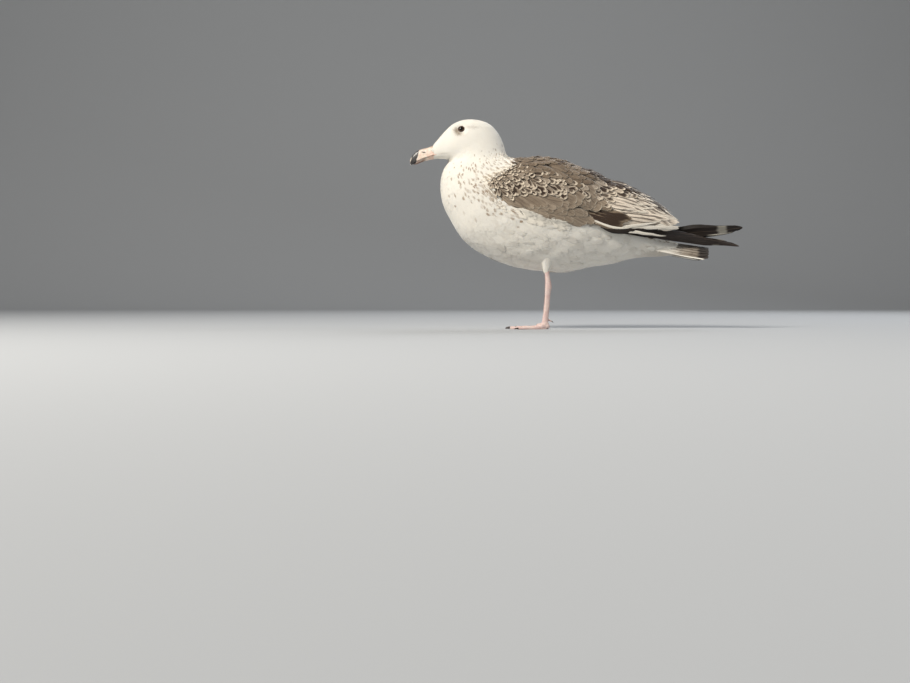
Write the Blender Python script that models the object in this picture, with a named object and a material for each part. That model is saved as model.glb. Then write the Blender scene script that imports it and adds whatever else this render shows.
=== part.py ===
"""An immature large gull (a lesser black-backed gull in its second year), standing at ease.

Metres, +Z up, the bird faces -Y and its left side is +X. The origin is on the floor, under the
middle of the box round the bird. Lengths below are millimetres, turned into metres by MM.

The head, neck and trunk are lengths of one loft, body_point(), parted by thin cuts. The folded
wings are shells on that loft, and the bill, legs and feet are lofts of their own.
"""

import math

import bmesh
import bpy
import numpy as np
from mathutils import Matrix, Vector

MM = 0.001
GAP = 0.4          # between any two pieces that meet
SIDES = 24         # round the head, neck and trunk

# The loft of head, neck and trunk, from the bill's root to the tail's root. Each station is
# dorsal y, z, ventral y, z, half width, and how square its outline is (2 is an ellipse).
STATIONS = np.array([
    (-232.5, 297.5, -230.0, 276.0, 7.5, 2.2),
    (-211.0, 322.0, -218.0, 276.0, 15.5, 2.4),
    (-196.5, 333.5, -213.0, 275.5, 20.5, 2.4),
    (-178.5, 339.0, -209.5, 274.8, 24.0, 2.4),
    (-157.5, 338.0, -207.3, 273.8, 26.5, 2.3),
    (-139.5, 331.0, -206.2, 272.5, 28.0, 2.2),
    (-126.5, 317.0, -206.0, 271.0, 29.0, 2.1),
    (-118.0, 299.5, -207.8, 268.0, 31.0, 2.0),
    (-113.3, 283.0, -212.7, 262.5, 34.5, 2.0),
    (-108.5, 277.5, -217.9, 250.5, 39.5, 2.0),
    (-100.0, 276.5, -220.4, 231.5, 45.5, 2.0),
    (-87.0, 276.5, -216.8, 204.5, 52.0, 2.0),
    (-69.0, 276.5, -204.6, 178.0, 57.0, 2.0),
    (-46.5, 275.0, -181.7, 143.0, 60.5, 2.1),
    (-20.5, 270.5, -146.0, 118.0, 62.5, 2.1),
    (5.5, 260.0, -103.5, 102.0, 62.0, 2.1),
    (30.0, 253.0, -58.0, 94.0, 58.5, 2.1),
    (51.0, 241.5, -20.5, 91.5, 53.0, 2.0),
    (71.0, 220.5, 20.5, 100.0, 45.5, 2.0),
    (92.0, 193.0, 56.0, 105.0, 37.5, 2.0),
    (113.0, 169.0, 86.0, 113.0, 30.5, 2.0),
    (131.0, 151.0, 113.0, 118.5, 25.5, 2.0),
])
NOSE, HEAD_END, NECK_END, TAIL_ROOT = 0.0, 6.0, 10.5, 21.0   # stations where it is parted

EYE_CENTRE = (14.8, -186.2, 321.5)
EYE_RADIUS = 6.6

# The bill's two halves, from root to tip: y, z of the ridge, y, z of the mouth line, half width.
UPPER_BILL = [
    (-233.0, 296.8, -231.3, 282.0, 6.6),
    (-241.5, 293.8, -241.0, 279.0, 5.9),
    (-250.5, 291.6, -250.0, 276.3, 5.1),
    (-259.0, 287.8, -257.5, 273.2, 4.3),
    (-265.3, 281.5, -262.5, 270.6, 3.3),
    (-268.8, 274.5, -264.6, 268.4, 2.3),
    (-269.7, 268.5, -266.4, 266.2, 1.2),
]
UPPER_BILL_TIP = (0, -268.4, 264.0)
LOWER_BILL = [
    (-230.6, 275.8, -231.2, 281.6, 6.0),
    (-241.0, 273.4, -240.9, 278.6, 5.2),
    (-250.0, 270.6, -249.9, 275.9, 4.4),
    (-257.5, 267.6, -257.3, 272.8, 3.4),
    (-262.2, 267.2, -262.0, 270.0, 2.2),
]
LOWER_BILL_TIP = (0, -264.0, 267.8)

# The coverts lie on the trunk from a station at the bend of the wing to one at their rear end,
# which runs further back at the lower edge, and from one angle off the back to another.
COVERT_FRONT, COVERT_REAR, REAR_SLANT = 11.5, 17.05, 0.45
COVERT_TOP, COVERT_LOW = math.radians(14), math.radians(95)
BEND_REACH = 0.5                     # how much further forward the lower corner starts
BEND_TOP, BEND_LOW = math.radians(34), math.radians(18)    # how much narrower the bend is
COVERT_DEPTH, COVERT_EDGE = 6.0, 1.6
INNER_LIFT = 0.9    # under the coverts, so that flat faces on both sides keep their gap

# The tertials roof the lower back: x, y, z of the shell's lower and upper edges, front to rear.
TERTIAL_LOW = [(53.0, 36, 151), (49.5, 70, 153.5), (42.5, 105, 158), (33.0, 140, 162.5), (21.0, 172, 166.5)]
TERTIAL_TOP = [(3.0, 58, 242), (2.5, 92, 226), (2.5, 120, 212), (3.5, 146, 193), (12.0, 173, 170.5)]
TERTIAL_DEPTH = 4.0

# The closed primaries: x, y, z of the blade's middle and half its height, from root to tip. The
# right wing crosses above the left one.
NEAR_BLADE = [(47.0, 50, 152.5, 3.0), (41.0, 80, 154.0, 4.0), (33.5, 115, 155.0, 6.0), (25.5, 145, 155.0, 7.2),
              (17.0, 175, 153.0, 7.5), (10.5, 203, 147.5, 6.5), (7.0, 222, 144.5, 3.8), (4.0, 244, 140.5, 2.0),
              (1.5, 266, 134.5, 0.9)]
FAR_BLADE = [(47.0, 50, 152.5, 3.0), (41.0, 80, 153.5, 4.5), (33.5, 115, 154.5, 7.0), (25.5, 145, 155.0, 8.0),
             (18.0, 172, 155.5, 7.5), (11.0, 190, 159.0, 9.5), (6.0, 206, 161.0, 11.0), (1.0, 224, 162.0, 10.5),
             (-4.0, 244, 163.5, 8.0), (-7.5, 259, 164.5, 4.5), (-9.0, 269.7, 164.5, 1.2)]
BLADE_HALF_DEPTH = 1.2
BLADE_LEAN = math.radians(28)    # of the blade from upright, its top edge towards the middle

# The tail: y of its top and bottom, half width, z and fall of the top, z and fall of the bottom.
TAIL = [
    (132.0, 114.4, 24.5, 150.0, 14.0, 118.5, -14.0),
    (147.0, 138.0, 25.5, 145.0, 13.5, 121.5, -6.0),
    (166.0, 162.0, 26.5, 141.5, 13.5, 127.0, 5.0),
    (187.0, 187.0, 28.0, 136.5, 14.0, 131.0, 11.5),
    (216.5, 216.0, 29.5, 131.5, 14.5, 128.7, 13.2),
]
TAIL_TIP_CURVE = 5.0

LEG_X = 31.0            # from the middle plane to each leg
RIGHT_LEG_BACK = 3.0    # the right leg stands a little behind the left one
THIGH = [(-48.5, 126, 15.0, 17.0), (-48.5, 112, 10.5, 12.0), (-49, 104, 6.8, 7.8), (-49.5, 98.4, 4.3, 5.0)]
SHIN = [(-49.5, 98.0, 3.1, 3.7), (-48, 86, 3.0, 3.8), (-46.5, 75, 3.7, 4.7), (-46.1, 68.4, 4.3, 5.6)]
TARSUS = [(-46.1, 68.0, 4.3, 5.6), (-46.7, 62, 3.6, 5.0), (-47.5, 52, 2.7, 4.3), (-49, 32, 2.6, 4.2),
          (-50.5, 17, 3.0, 4.4), (-51.5, 10.2, 4.2, 4.6)]
LEG_SIDES = 12

# Each foot: its pad under the tarsus, then its toes, inner, middle and outer.
PAD = (31.0, -51.5)
TOES = [(-24.0, 42.0, 4.4), (2.0, 57.0, 0.0), (27.0, 50.0, -4.4)]   # degrees outwards, length, offset inwards
TOE_HALF_WIDTH, TOE_TIP_HALF_WIDTH = 3.0, 1.9
TOE_HEIGHT, TOE_TIP_HEIGHT, PAD_HEIGHT = 5.0, 3.4, 9.6
WEB_HEIGHT = 1.5
WEB_REACH, WEB_HOLLOW = 0.92, 0.16
HEEL_BACK = 6.0
CLAW_LENGTH, CLAW_RADIUS = 8.0, 1.7


def metres(points):
    """Millimetre points as metres."""
    return np.asarray(points, float) * MM


def between(table, at):
    """The row at a place between the rows of a table, on a Catmull-Rom curve."""
    table = np.asarray(table, float)
    last = len(table) - 1
    i = int(min(max(math.floor(at), 0), last - 1))
    u = at - i
    before = table[i - 1] if i else 2 * table[0] - table[1]
    after = table[i + 2] if i + 2 <= last else 2 * table[last] - table[last - 1]
    a, b = table[i], table[i + 1]
    return 0.5 * (2 * a + (b - before) * u + (2 * before - 5 * a + 4 * b - after) * u**2
                  + (3 * a - before - 3 * b + after) * u**3)


def body_point(at, angle, lift=0.0):
    """A point on the body's loft: at a station, at an angle from the back, lifted off it by mm."""
    def on_loft(t, turn):
        dy, dz, vy, vz, half, square = between(STATIONS, t)
        back, belly = np.array((0, dy, dz)), np.array((0, vy, vz))
        c, s = math.cos(turn), math.sin(turn)
        along = math.copysign(abs(c) ** (2 / square), c)
        across = math.copysign(abs(s) ** (2 / square), s)
        return (back + belly) / 2 + (back - belly) / 2 * along + np.array((half * across, 0, 0))

    point = on_loft(at, angle)
    if lift:
        step = 0.02
        low, high = max(at - step, 0), min(at + step, len(STATIONS) - 1)
        normal = np.cross(on_loft(at, angle + step) - on_loft(at, angle - step),
                          on_loft(high, angle) - on_loft(low, angle))
        point = point + lift * normal / np.linalg.norm(normal)
    return point


def body_ring(at):
    """One closed ring of the body's loft."""
    return [body_point(at, math.tau * k / SIDES) for k in range(SIDES)]


def material(name, colour, roughness):
    """A plain material of one colour."""
    made = bpy.data.materials.new(name)
    made.use_nodes = True
    shader = made.node_tree.nodes["Principled BSDF"]
    shader.inputs["Base Color"].default_value = (*colour, 1)
    shader.inputs["Roughness"].default_value = roughness
    shader.inputs["Metallic"].default_value = 0.0
    return made


def finish_mesh(name, bm, finish, smooth_angle=40):
    """Turns a closed bmesh into a named object with its faces pointing out."""
    bmesh.ops.recalc_face_normals(bm, faces=bm.faces)
    mesh = bpy.data.meshes.new(name)
    bm.to_mesh(mesh)
    bm.free()
    mesh.materials.append(finish)
    mesh.shade_smooth()
    mesh.set_sharp_from_angle(angle=math.radians(smooth_angle))
    made = bpy.data.objects.new(name, mesh)
    bpy.context.scene.collection.objects.link(made)
    return made


def ring_solid(name, rings, finish, start_pole=None, end_pole=None):
    """A solid through rings of equal count, its ends closed flat or by a pole point."""
    bm = bmesh.new()
    loops = [[bm.verts.new(p) for p in metres(ring)] for ring in rings]
    for near, far in zip(loops, loops[1:]):
        for k in range(len(near)):
            after = (k + 1) % len(near)
            bm.faces.new((near[k], near[after], far[after], far[k]))
    for loop, pole in ((loops[0], start_pole), (loops[-1], end_pole)):
        if pole is None:
            bm.faces.new(loop)
            continue
        top = bm.verts.new(metres(pole))
        for k in range(len(loop)):
            bm.faces.new((loop[k], loop[(k + 1) % len(loop)], top))
    return finish_mesh(name, bm, finish)


def shell_solid(name, outer, inner, finish):
    """A solid between two grids of the same size."""
    bm = bmesh.new()
    faces = [[[bm.verts.new(p) for p in metres(row)] for row in grid] for grid in (outer, inner)]
    rows, columns = len(outer), len(outer[0])
    for grid in faces:
        for i in range(rows - 1):
            for j in range(columns - 1):
                bm.faces.new((grid[i][j], grid[i + 1][j], grid[i + 1][j + 1], grid[i][j + 1]))
    edge = ([(i, 0) for i in range(rows)] + [(rows - 1, j) for j in range(1, columns)]
            + [(i, columns - 1) for i in range(rows - 2, -1, -1)]
            + [(0, j) for j in range(columns - 2, 0, -1)])
    for (i, j), (k, l) in zip(edge, edge[1:] + edge[:1]):
        bm.faces.new((faces[0][i][j], faces[0][k][l], faces[1][k][l], faces[1][i][j]))
    return finish_mesh(name, bm, finish)


def mirrored(points, side):
    """Points of the left side, or their mirror image for the right side."""
    return np.asarray(points, float) * (side, 1, 1)


def plane_shift(ring, away):
    """A flat ring moved off its own plane, towards a point on the far side, by the gap."""
    ring = np.asarray(ring)
    normal = np.cross(ring[SIDES // 4] - ring[0], ring[SIDES // 2] - ring[0])
    normal /= np.linalg.norm(normal)
    if np.dot(np.asarray(away) - ring.mean(0), normal) < 0:
        normal = -normal
    return ring + normal * GAP


def add_body(feathers):
    """The head, neck and trunk, with sockets in the head for the eyes."""
    head_at = np.concatenate((np.linspace(NOSE, 1.0, 4), np.linspace(1.5, HEAD_END, 11)))
    head = ring_solid("head", [body_ring(t) for t in head_at], feathers)
    neck_at = np.linspace(HEAD_END + 0.6, NECK_END, 8)
    neck_rings = [body_ring(t) for t in neck_at]
    first = plane_shift(body_ring(HEAD_END), np.mean(neck_rings[2], 0))
    ring_solid("neck", [first, *neck_rings], feathers)
    trunk_at = np.concatenate((np.linspace(NECK_END + 0.35, 20.0, 19), (20.5, TAIL_ROOT)))
    trunk_rings = [body_ring(t) for t in trunk_at]
    first = plane_shift(body_ring(NECK_END), np.mean(trunk_rings[2], 0))
    ring_solid("trunk", [first, *trunk_rings], feathers)
    return head


def cut(target, cutter):
    """Takes the cutter out of the target for good."""
    cutter.hide_render = True
    cutter.display_type = "WIRE"
    change = target.modifiers.new("cut", "BOOLEAN")
    change.operation = "DIFFERENCE"
    change.object = cutter


def ball(name, centre, radius, finish, columns=18, rows=11):
    """A sphere whose poles lie on the X axis."""
    bm = bmesh.new()
    bmesh.ops.create_uvsphere(bm, u_segments=columns, v_segments=rows, radius=radius * MM)
    bmesh.ops.rotate(bm, verts=bm.verts, matrix=Matrix.Rotation(math.pi / 2, 3, "Y"))
    bmesh.ops.translate(bm, verts=bm.verts, vec=Vector(metres(centre)))
    return finish_mesh(name, bm, finish, 180)


def add_eyes(head, eye):
    """Each eyeball sits in a socket of the head, a gap wider than itself."""
    for side, label in ((1, "left"), (-1, "right")):
        centre = mirrored(EYE_CENTRE, side)
        ball(f"eye_{label}", centre, EYE_RADIUS, eye)
        cut(head, ball(f"socket_{label}", centre, EYE_RADIUS + GAP, eye))


def bill_ring(ridge_y, ridge_z, mouth_y, mouth_z, half):
    """A bow from one cutting edge over the ridge to the other, closed by a flat mouth side."""
    ridge, mouth = np.array((0, ridge_y, ridge_z)), np.array((0, mouth_y, mouth_z))
    bow = [mouth + (ridge - mouth) * math.sin(a) ** 0.9 + np.array((half * math.cos(a), 0, 0))
           for a in np.linspace(0, math.pi, 11)]
    return bow + [mouth + np.array((x * half, 0, 0)) for x in (-0.5, 0, 0.5)]


def add_bill(horn):
    """The upper half with its hook, and the lower half."""
    for name, table, tip in (("bill_upper", UPPER_BILL, UPPER_BILL_TIP),
                             ("bill_lower", LOWER_BILL, LOWER_BILL_TIP)):
        at = np.linspace(0, len(table) - 1, 2 * len(table) - 1)
        ring_solid(name, [bill_ring(*between(table, t)) for t in at], horn, end_pole=tip)


def covert_grid(side, outer):
    """Points of the coverts' outer or inner face, from the bend to the rear, top to bottom."""
    rows = []
    for u in np.linspace(0, 1, 11):
        row = []
        for v in np.linspace(0, 1, 9):
            front, rear = COVERT_FRONT - BEND_REACH * v, COVERT_REAR + REAR_SLANT * v
            at = front + (rear - front) * u
            top = COVERT_TOP + BEND_TOP * (1 - u) ** 3
            low = COVERT_LOW - BEND_LOW * (1 - u) ** 4
            swell = math.sin(math.pi * (0.12 + 0.8 * u)) * math.sin(math.pi * v) ** 0.6
            lift = COVERT_EDGE + INNER_LIFT + COVERT_DEPTH * swell if outer else INNER_LIFT
            row.append(mirrored(body_point(at, top + (low - top) * v, lift), side))
        rows.append(row)
    return rows


def tertial_grid(side, outer):
    """Points of the tertials' outer or inner face: bows from the lower edge up to the back."""
    rows = []
    for u in np.linspace(0, 1, 10):
        low, top = (between(t, u * (len(t) - 1)) for t in (TERTIAL_LOW, TERTIAL_TOP))
        depth = 0 if outer else TERTIAL_DEPTH * (0.55 + 0.45 * math.sin(math.pi * u))
        row = []
        for v in np.linspace(0, 1, 9):
            turn = v * math.pi / 2
            rise = math.sin(turn) ** 0.9
            share = np.array((1 - math.cos(turn) ** 0.9, rise, rise))
            inward = np.array((math.cos(turn), 0, math.sin(turn))) * depth
            row.append(mirrored(low + (top - low) * share - inward, side))
        rows.append(row)
    return rows


def blade_ring(x, y, z, half, side):
    """A flat ring of the closed primaries, leaning over the tail."""
    along = np.array((-math.sin(BLADE_LEAN), 0, math.cos(BLADE_LEAN)))
    across = np.array((math.cos(BLADE_LEAN), 0, math.sin(BLADE_LEAN)))
    depth = min(BLADE_HALF_DEPTH, half)
    return [mirrored(np.array((x, y, z)) + along * half / along[2] * math.cos(a) + across * depth * math.sin(a),
                     side) for a in math.tau * np.arange(12) / 12]


def add_wings(brown, dark):
    """Each folded wing: coverts on the trunk, tertials behind them, and the closed primaries."""
    for side, label, blade in ((1, "left", NEAR_BLADE), (-1, "right", FAR_BLADE)):
        shell_solid(f"wing_{label}_coverts", covert_grid(side, True), covert_grid(side, False), brown)
        shell_solid(f"wing_{label}_tertials", tertial_grid(side, True), tertial_grid(side, False), brown)
        at = np.linspace(0, len(blade) - 1, 14)
        ring_solid(f"wing_{label}_primaries", [blade_ring(*between(blade, t), side) for t in at], dark)


def add_tail(white):
    """The closed tail, arched over its width, thick with coverts at its root."""
    rings = []
    for t in np.linspace(0, len(TAIL) - 1, 9):
        top_y, low_y, half, top_z, top_fall, low_z, low_fall = between(TAIL, t)
        curve = TAIL_TIP_CURVE * t / (len(TAIL) - 1)
        rake = (top_y - low_y) / (top_z - low_z)
        ring = []
        for z, fall, across in ((top_z, top_fall, 1), (low_z, low_fall, -1)):
            for x in np.linspace(-across, across, 10):
                level = z - fall * x * x
                ring.append((half * x, top_y + (level - top_z) * rake - curve * x * x, level))
        rings.append(ring)
    ring_solid("tail", rings, white)


def leg_rings(table, side):
    """Oval rings down a leg: each row is y, z, half width and half depth."""
    back = 0 if side > 0 else RIGHT_LEG_BACK
    at = np.linspace(0, len(table) - 1, 2 * len(table) - 1)
    rings = []
    for y, z, half_width, half_depth in (between(table, t) for t in at):
        turns = math.tau * np.arange(LEG_SIDES) / LEG_SIDES
        rings.append([mirrored((LEG_X + half_width * math.cos(a), y + back + half_depth * math.sin(a), z), side)
                      for a in turns])
    return rings


def toe_point(toe, along, across):
    """A place on a toe in plan: how far along it from the pad, and from -1 to 1 across it."""
    degrees, length, offset = TOES[toe]
    turn = math.radians(degrees)
    forward = np.array((math.sin(turn), -math.cos(turn)))
    outward = np.array((math.cos(turn), math.sin(turn)))
    share = max(along, 0) / length
    spread = min(max((along + 2) / 14, 0), 1)
    half = (1.5 + (TOE_HALF_WIDTH - 1.5) * spread) * (1 - share) + TOE_TIP_HALF_WIDTH * share
    start = np.array(PAD) + np.array((-offset, 0))
    if along < 0:
        return start + np.array((0, -along)) + np.array((1, 0)) * half * across
    return start + forward * along + outward * half * across


def toe_top(toe, along, across):
    """Height of a toe's upper side, with a low swelling at each of its joints."""
    length = TOES[toe][1]
    share = max(along, 0) / length
    height = TOE_HEIGHT + (TOE_TIP_HEIGHT - TOE_HEIGHT) * share + 0.35 * math.cos(math.tau * 3 * share)
    pad = (PAD_HEIGHT - height) * math.exp(-((along / 7.5) ** 2))
    return (height + pad) * (1 - 0.5 * across * across)


def foot_grid(side, top):
    """A foot from heel to toe tips, inner toe to outer toe, its webs between the toes."""
    rows = []
    for share in np.concatenate(((-1.0,), np.linspace(0, 1, 12))):
        def along(toe):
            return share * (TOES[toe][1] if share > 0 else HEEL_BACK)
        row = []
        for toe in range(3):
            for across in (-1, -0.45, 0.45, 1):
                height = toe_top(toe, along(toe), across) if top else 0
                row.append((*toe_point(toe, along(toe), across), height))
            if toe == 2:
                continue
            for part in (0.25, 0.75):
                hollow = 1 - WEB_HOLLOW * max(share, 0) * math.sin(math.pi * part)
                reach = (WEB_REACH * hollow if share > 0 else 1)
                near = toe_point(toe, along(toe) * reach, 1)
                far = toe_point(toe + 1, along(toe + 1) * reach, -1)
                edge = toe_top(toe, along(toe), 1)
                height = WEB_HEIGHT + (edge - WEB_HEIGHT) * math.exp(-max(share, 0) * 9)
                row.append((*(near + (far - near) * part), height if top else 0))
        back = 0 if side > 0 else RIGHT_LEG_BACK
        rows.append([mirrored((x, y + back, z), side) for x, y, z in row])
    return rows


def claw_rings(root, heading, fall, length, radius):
    """A claw from its root, its tip turned down."""
    heading = np.asarray(heading, float) / np.linalg.norm(heading)
    across = np.cross(heading, (0, 0, 1))
    rings = []
    for t in (0, 0.35, 0.7):
        middle = np.asarray(root) + heading * length * t - np.array((0, 0, fall * t**2))
        rings.append([middle + radius * (1 - 0.75 * t) * (across * math.cos(a) + np.array((0, 0, math.sin(a))))
                      for a in math.tau * np.arange(6) / 6])
    return rings, np.asarray(root) + heading * length - np.array((0, 0, fall))


def add_legs(feathers, skin, claw, trunk_cutter):
    """Thigh, shin, tarsus, webbed foot, hind toe and claws of each leg."""
    for side, label in ((1, "left"), (-1, "right")):
        back = 0 if side > 0 else RIGHT_LEG_BACK
        cut(ring_solid(f"thigh_{label}", leg_rings(THIGH, side), feathers), trunk_cutter)
        ring_solid(f"shin_{label}", leg_rings(SHIN, side), skin)
        ring_solid(f"tarsus_{label}", leg_rings(TARSUS, side), skin)
        shell_solid(f"foot_{label}", foot_grid(side, True), foot_grid(side, False), skin)
        for toe, name in enumerate(("inner", "middle", "outer")):
            turn = math.radians(TOES[toe][0])
            heading = np.array((math.sin(turn) * side, -math.cos(turn), 0))
            x, y = toe_point(toe, TOES[toe][1], 0)
            end = mirrored((x, y + back, TOE_TIP_HEIGHT / 2 + 0.2), side)
            rings, tip = claw_rings(end + heading * GAP, heading, 1.2, CLAW_LENGTH, CLAW_RADIUS)
            ring_solid(f"claw_{label}_{name}", rings, claw, end_pole=tip)
        heading = np.array((-0.3 * side, 1.0, -0.45))
        root = mirrored((LEG_X - 1.5, back - 45.9, 15.0), side)
        toe_rings, toe_end = claw_rings(root, heading, 0.8, 8.0, 2.1)
        ring_solid(f"hind_toe_{label}", toe_rings, skin)
        start = np.mean(toe_rings[-1], 0) + heading / np.linalg.norm(heading) * GAP
        rings, tip = claw_rings(start, heading, 0.8, 4.0, 0.9)
        ring_solid(f"claw_{label}_hind", rings, claw, end_pole=tip)


def main():
    """Builds the bird from nothing."""
    for old in list(bpy.data.objects):
        bpy.data.objects.remove(old)
    feathers = material("feathers", (0.86, 0.83, 0.77), 0.9)
    brown = material("wing_feathers", (0.38, 0.32, 0.26), 0.85)
    dark = material("primaries", (0.06, 0.05, 0.045), 0.6)
    horn = material("horn", (0.78, 0.62, 0.54), 0.4)
    skin = material("leg_skin", (0.72, 0.47, 0.42), 0.5)
    claw = material("claw", (0.08, 0.06, 0.06), 0.4)
    eye = material("eye", (0.05, 0.035, 0.025), 0.1)
    head = add_body(feathers)
    add_eyes(head, eye)
    add_bill(horn)
    add_wings(brown, dark)
    add_tail(feathers)
    at = np.linspace(NECK_END + 1, 20.0, 19)
    rings = [[body_point(t, math.tau * k / SIDES, GAP + 0.1) for k in range(SIDES)] for t in at]
    add_legs(feathers, skin, claw, ring_solid("trunk_cutter", rings, feathers))


main()
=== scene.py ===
"""The looks of a standing immature gull: skin, plumage, eyes, bill, legs and claws on its solids."""

import logging
import math
from abc import ABC, abstractmethod
from dataclasses import dataclass, field
from enum import Enum
from typing import Callable, Optional, Sequence, Union

import bmesh
import bpy
import numpy as np
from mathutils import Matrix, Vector
from mathutils.kdtree import KDTree


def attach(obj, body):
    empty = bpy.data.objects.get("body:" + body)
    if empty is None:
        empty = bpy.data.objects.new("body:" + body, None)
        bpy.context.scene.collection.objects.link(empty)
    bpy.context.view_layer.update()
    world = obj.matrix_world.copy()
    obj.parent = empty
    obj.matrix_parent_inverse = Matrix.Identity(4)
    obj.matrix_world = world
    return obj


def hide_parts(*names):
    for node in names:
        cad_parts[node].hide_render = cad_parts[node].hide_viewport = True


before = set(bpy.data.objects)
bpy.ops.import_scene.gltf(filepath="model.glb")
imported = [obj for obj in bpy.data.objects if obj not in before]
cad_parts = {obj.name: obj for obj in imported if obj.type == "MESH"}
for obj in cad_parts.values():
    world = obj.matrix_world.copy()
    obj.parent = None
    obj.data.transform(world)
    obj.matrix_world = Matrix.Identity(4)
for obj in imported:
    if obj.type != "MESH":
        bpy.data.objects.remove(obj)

log = logging.getLogger("gull")

MM = 0.001
ROOT = "root"
BAKE_MAP = "OFBake"
TUFT_PATCH = 0.003     # how wide a tuft's patch is on the bake map
MARGIN = (0.03, 0.97)  # how far the patches reach on that map
SIDES = ((1, "left"), (-1, "right"))

Array = np.ndarray
Pair = tuple[float, float]
Colour = tuple[float, float, float]
Rng = np.random.Generator
Material = bpy.types.Material
Piece = bpy.types.Object
Socket = bpy.types.NodeSocket
Numbers = Union[float, Array]


class Region(Enum):
    """The parts of the coat that differ in length, width and spacing of their tufts."""

    FACE = "face"
    CROWN = "crown"
    NECK = "neck"
    BREAST = "breast"
    BELLY = "belly"
    VENT = "vent"


def srgb(red: int, green: int, blue: int) -> Colour:
    """A colour given as eye values from 0 to 255, as linear light."""
    return tuple(c / 12.92 if c <= 0.04045 else ((c + 0.055) / 1.055) ** 2.4
                 for c in (red / 255, green / 255, blue / 255))


def unit(vectors: Array) -> Array:
    """Vectors made one long."""
    return vectors / np.maximum(np.linalg.norm(vectors, axis=-1, keepdims=True), 1e-12)


def smooth(low: float, high: float, value: Numbers) -> Array:
    """0 below low, 1 above high, and a soft step between.

    Args:
        low: where the step starts. It may be above high, for a step down.
        high: where it ends.
        value: the numbers to pass through the step.

    Returns:
        The stepped numbers.
    """
    share = np.clip((np.asarray(value, float) - low) / (high - low), 0, 1)
    return share * share * (3 - 2 * share)


def window(value: Numbers, low: float, full: float, fade: float, end: float) -> Numbers:
    """1 from full to fade, 0 outside low to end, with soft steps between."""
    return smooth(low, full, value) * smooth(end, fade, value)


def spline(table: Array, at: Array) -> Array:
    """Rows of a table at places between its rows, on a Catmull-Rom curve.

    Args:
        table: one row per place.
        at: the places, where 0 is the first row. Beyond the ends the curve runs on straight.

    Returns:
        One row for each place.
    """
    at = np.asarray(at, float)
    last = len(table) - 1
    padded = np.vstack((2 * table[0] - table[1], table, 2 * table[last] - table[last - 1]))
    inside = np.clip(at, 0, last)
    low = np.clip(np.floor(inside).astype(int), 0, last - 1)
    u = (inside - low)[..., None]
    before, a, b, after = (padded[low + k] for k in range(4))
    rows = 0.5 * (2 * a + (b - before) * u + (2 * before - 5 * a + 4 * b - after) * u**2
                  + (3 * a - before - 3 * b + after) * u**3)
    beyond = (at - inside)[..., None]
    slope = np.where(beyond > 0, table[last] - table[last - 1], table[1] - table[0])
    return rows + beyond * slope


# ---------------------------------------------------------------- surfaces that feathers lie on


class Surface(ABC):
    """A surface named by two numbers. Feathers lie along the first, and the second runs across."""

    outward: float = 1.0
    step: float = 0.01

    @abstractmethod
    def points(self, along: Array, across: Array) -> Array:
        """Places on the surface, in metres."""

    def tangents(self, along: Array, across: Array) -> tuple[Array, Array]:
        """How a place moves per unit of each of its two numbers."""
        s = self.step
        run = (self.points(along + s, across) - self.points(along - s, across)) / (2 * s)
        turn = (self.points(along, across + s) - self.points(along, across - s)) / (2 * s)
        return run, turn

    def frames(self, along: Array, across: Array) -> tuple[Array, Array, Array]:
        """Both tangents and the outward normal."""
        run, turn = self.tangents(along, across)
        return run, turn, unit(np.cross(turn, run)) * self.outward

    @staticmethod
    def solve(run: Array, turn: Array, move: Array) -> Array:
        """The change of the two numbers that makes a wanted move along the surface."""
        a, b, c = (run * run).sum(-1), (run * turn).sum(-1), (turn * turn).sum(-1)
        p, q = (move * run).sum(-1), (move * turn).sum(-1)
        room = np.maximum(a * c - b * b, 1e-16)
        return np.stack(((p * c - q * b) / room, (q * a - p * b) / room), -1)


@dataclass
class Loft(Surface):
    """A body lofted through stations, named by the station and the angle from the back.

    Each row is dorsal y, z, ventral y, z, half width and squareness, in millimetres.
    """

    rows: Array

    def points(self, along: Array, across: Array) -> Array:
        """Places on the loft, in metres."""
        dy, dz, vy, vz, half, square = np.moveaxis(spline(self.rows, along), -1, 0)
        c, s = np.cos(across), np.sin(across)
        up = np.sign(c) * np.abs(c) ** (2 / square)
        out = np.sign(s) * np.abs(s) ** (2 / square)
        y, z = (dy + vy + (dy - vy) * up) / 2, (dz + vz + (dz - vz) * up) / 2
        return np.stack((half * out, y, z), -1) * MM


@dataclass
class Figure(Loft):
    """The body's loft with flattened orbits, so that the eyes face outwards under a brow."""

    orbit: float = 9.5      # how far from the eye the flat reaches
    relief: float = 0.008   # how deep the belly's folds are, as a share of its size
    waist: float = 190.0    # the height that they spread from

    def points(self, along: Array, across: Array) -> Array:
        """Places on the body, in metres."""
        x, y, z = np.moveaxis(super().points(along, across) / MM, -1, 0)
        away = np.hypot(y - EYE_MIDDLE[1], z - EYE_MIDDLE[2])
        plane = EYE_MIDDLE[0] + EYE_SLOPE[0] * (y - EYE_MIDDLE[1]) + EYE_SLOPE[1] * (z - EYE_MIDDLE[2])
        near = np.exp(-((away / self.orbit) ** 4)) * smooth(6.0, 11.0, np.abs(x))
        x = x + near * (np.sign(x) * plane - x)
        degrees = np.degrees(np.abs(across))
        fold = np.sin(along * 4.4 + 2.5 * np.sin(across * 2.3)) * np.sin(across * 8.0 + along * 1.7)
        fold = 1.0 + self.relief * fold * window(along, 11.8, 13.6, 19.0, 20.5) * smooth(82, 104, degrees)
        return np.stack((x * fold, y, self.waist + (z - self.waist) * fold), -1) * MM


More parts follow.
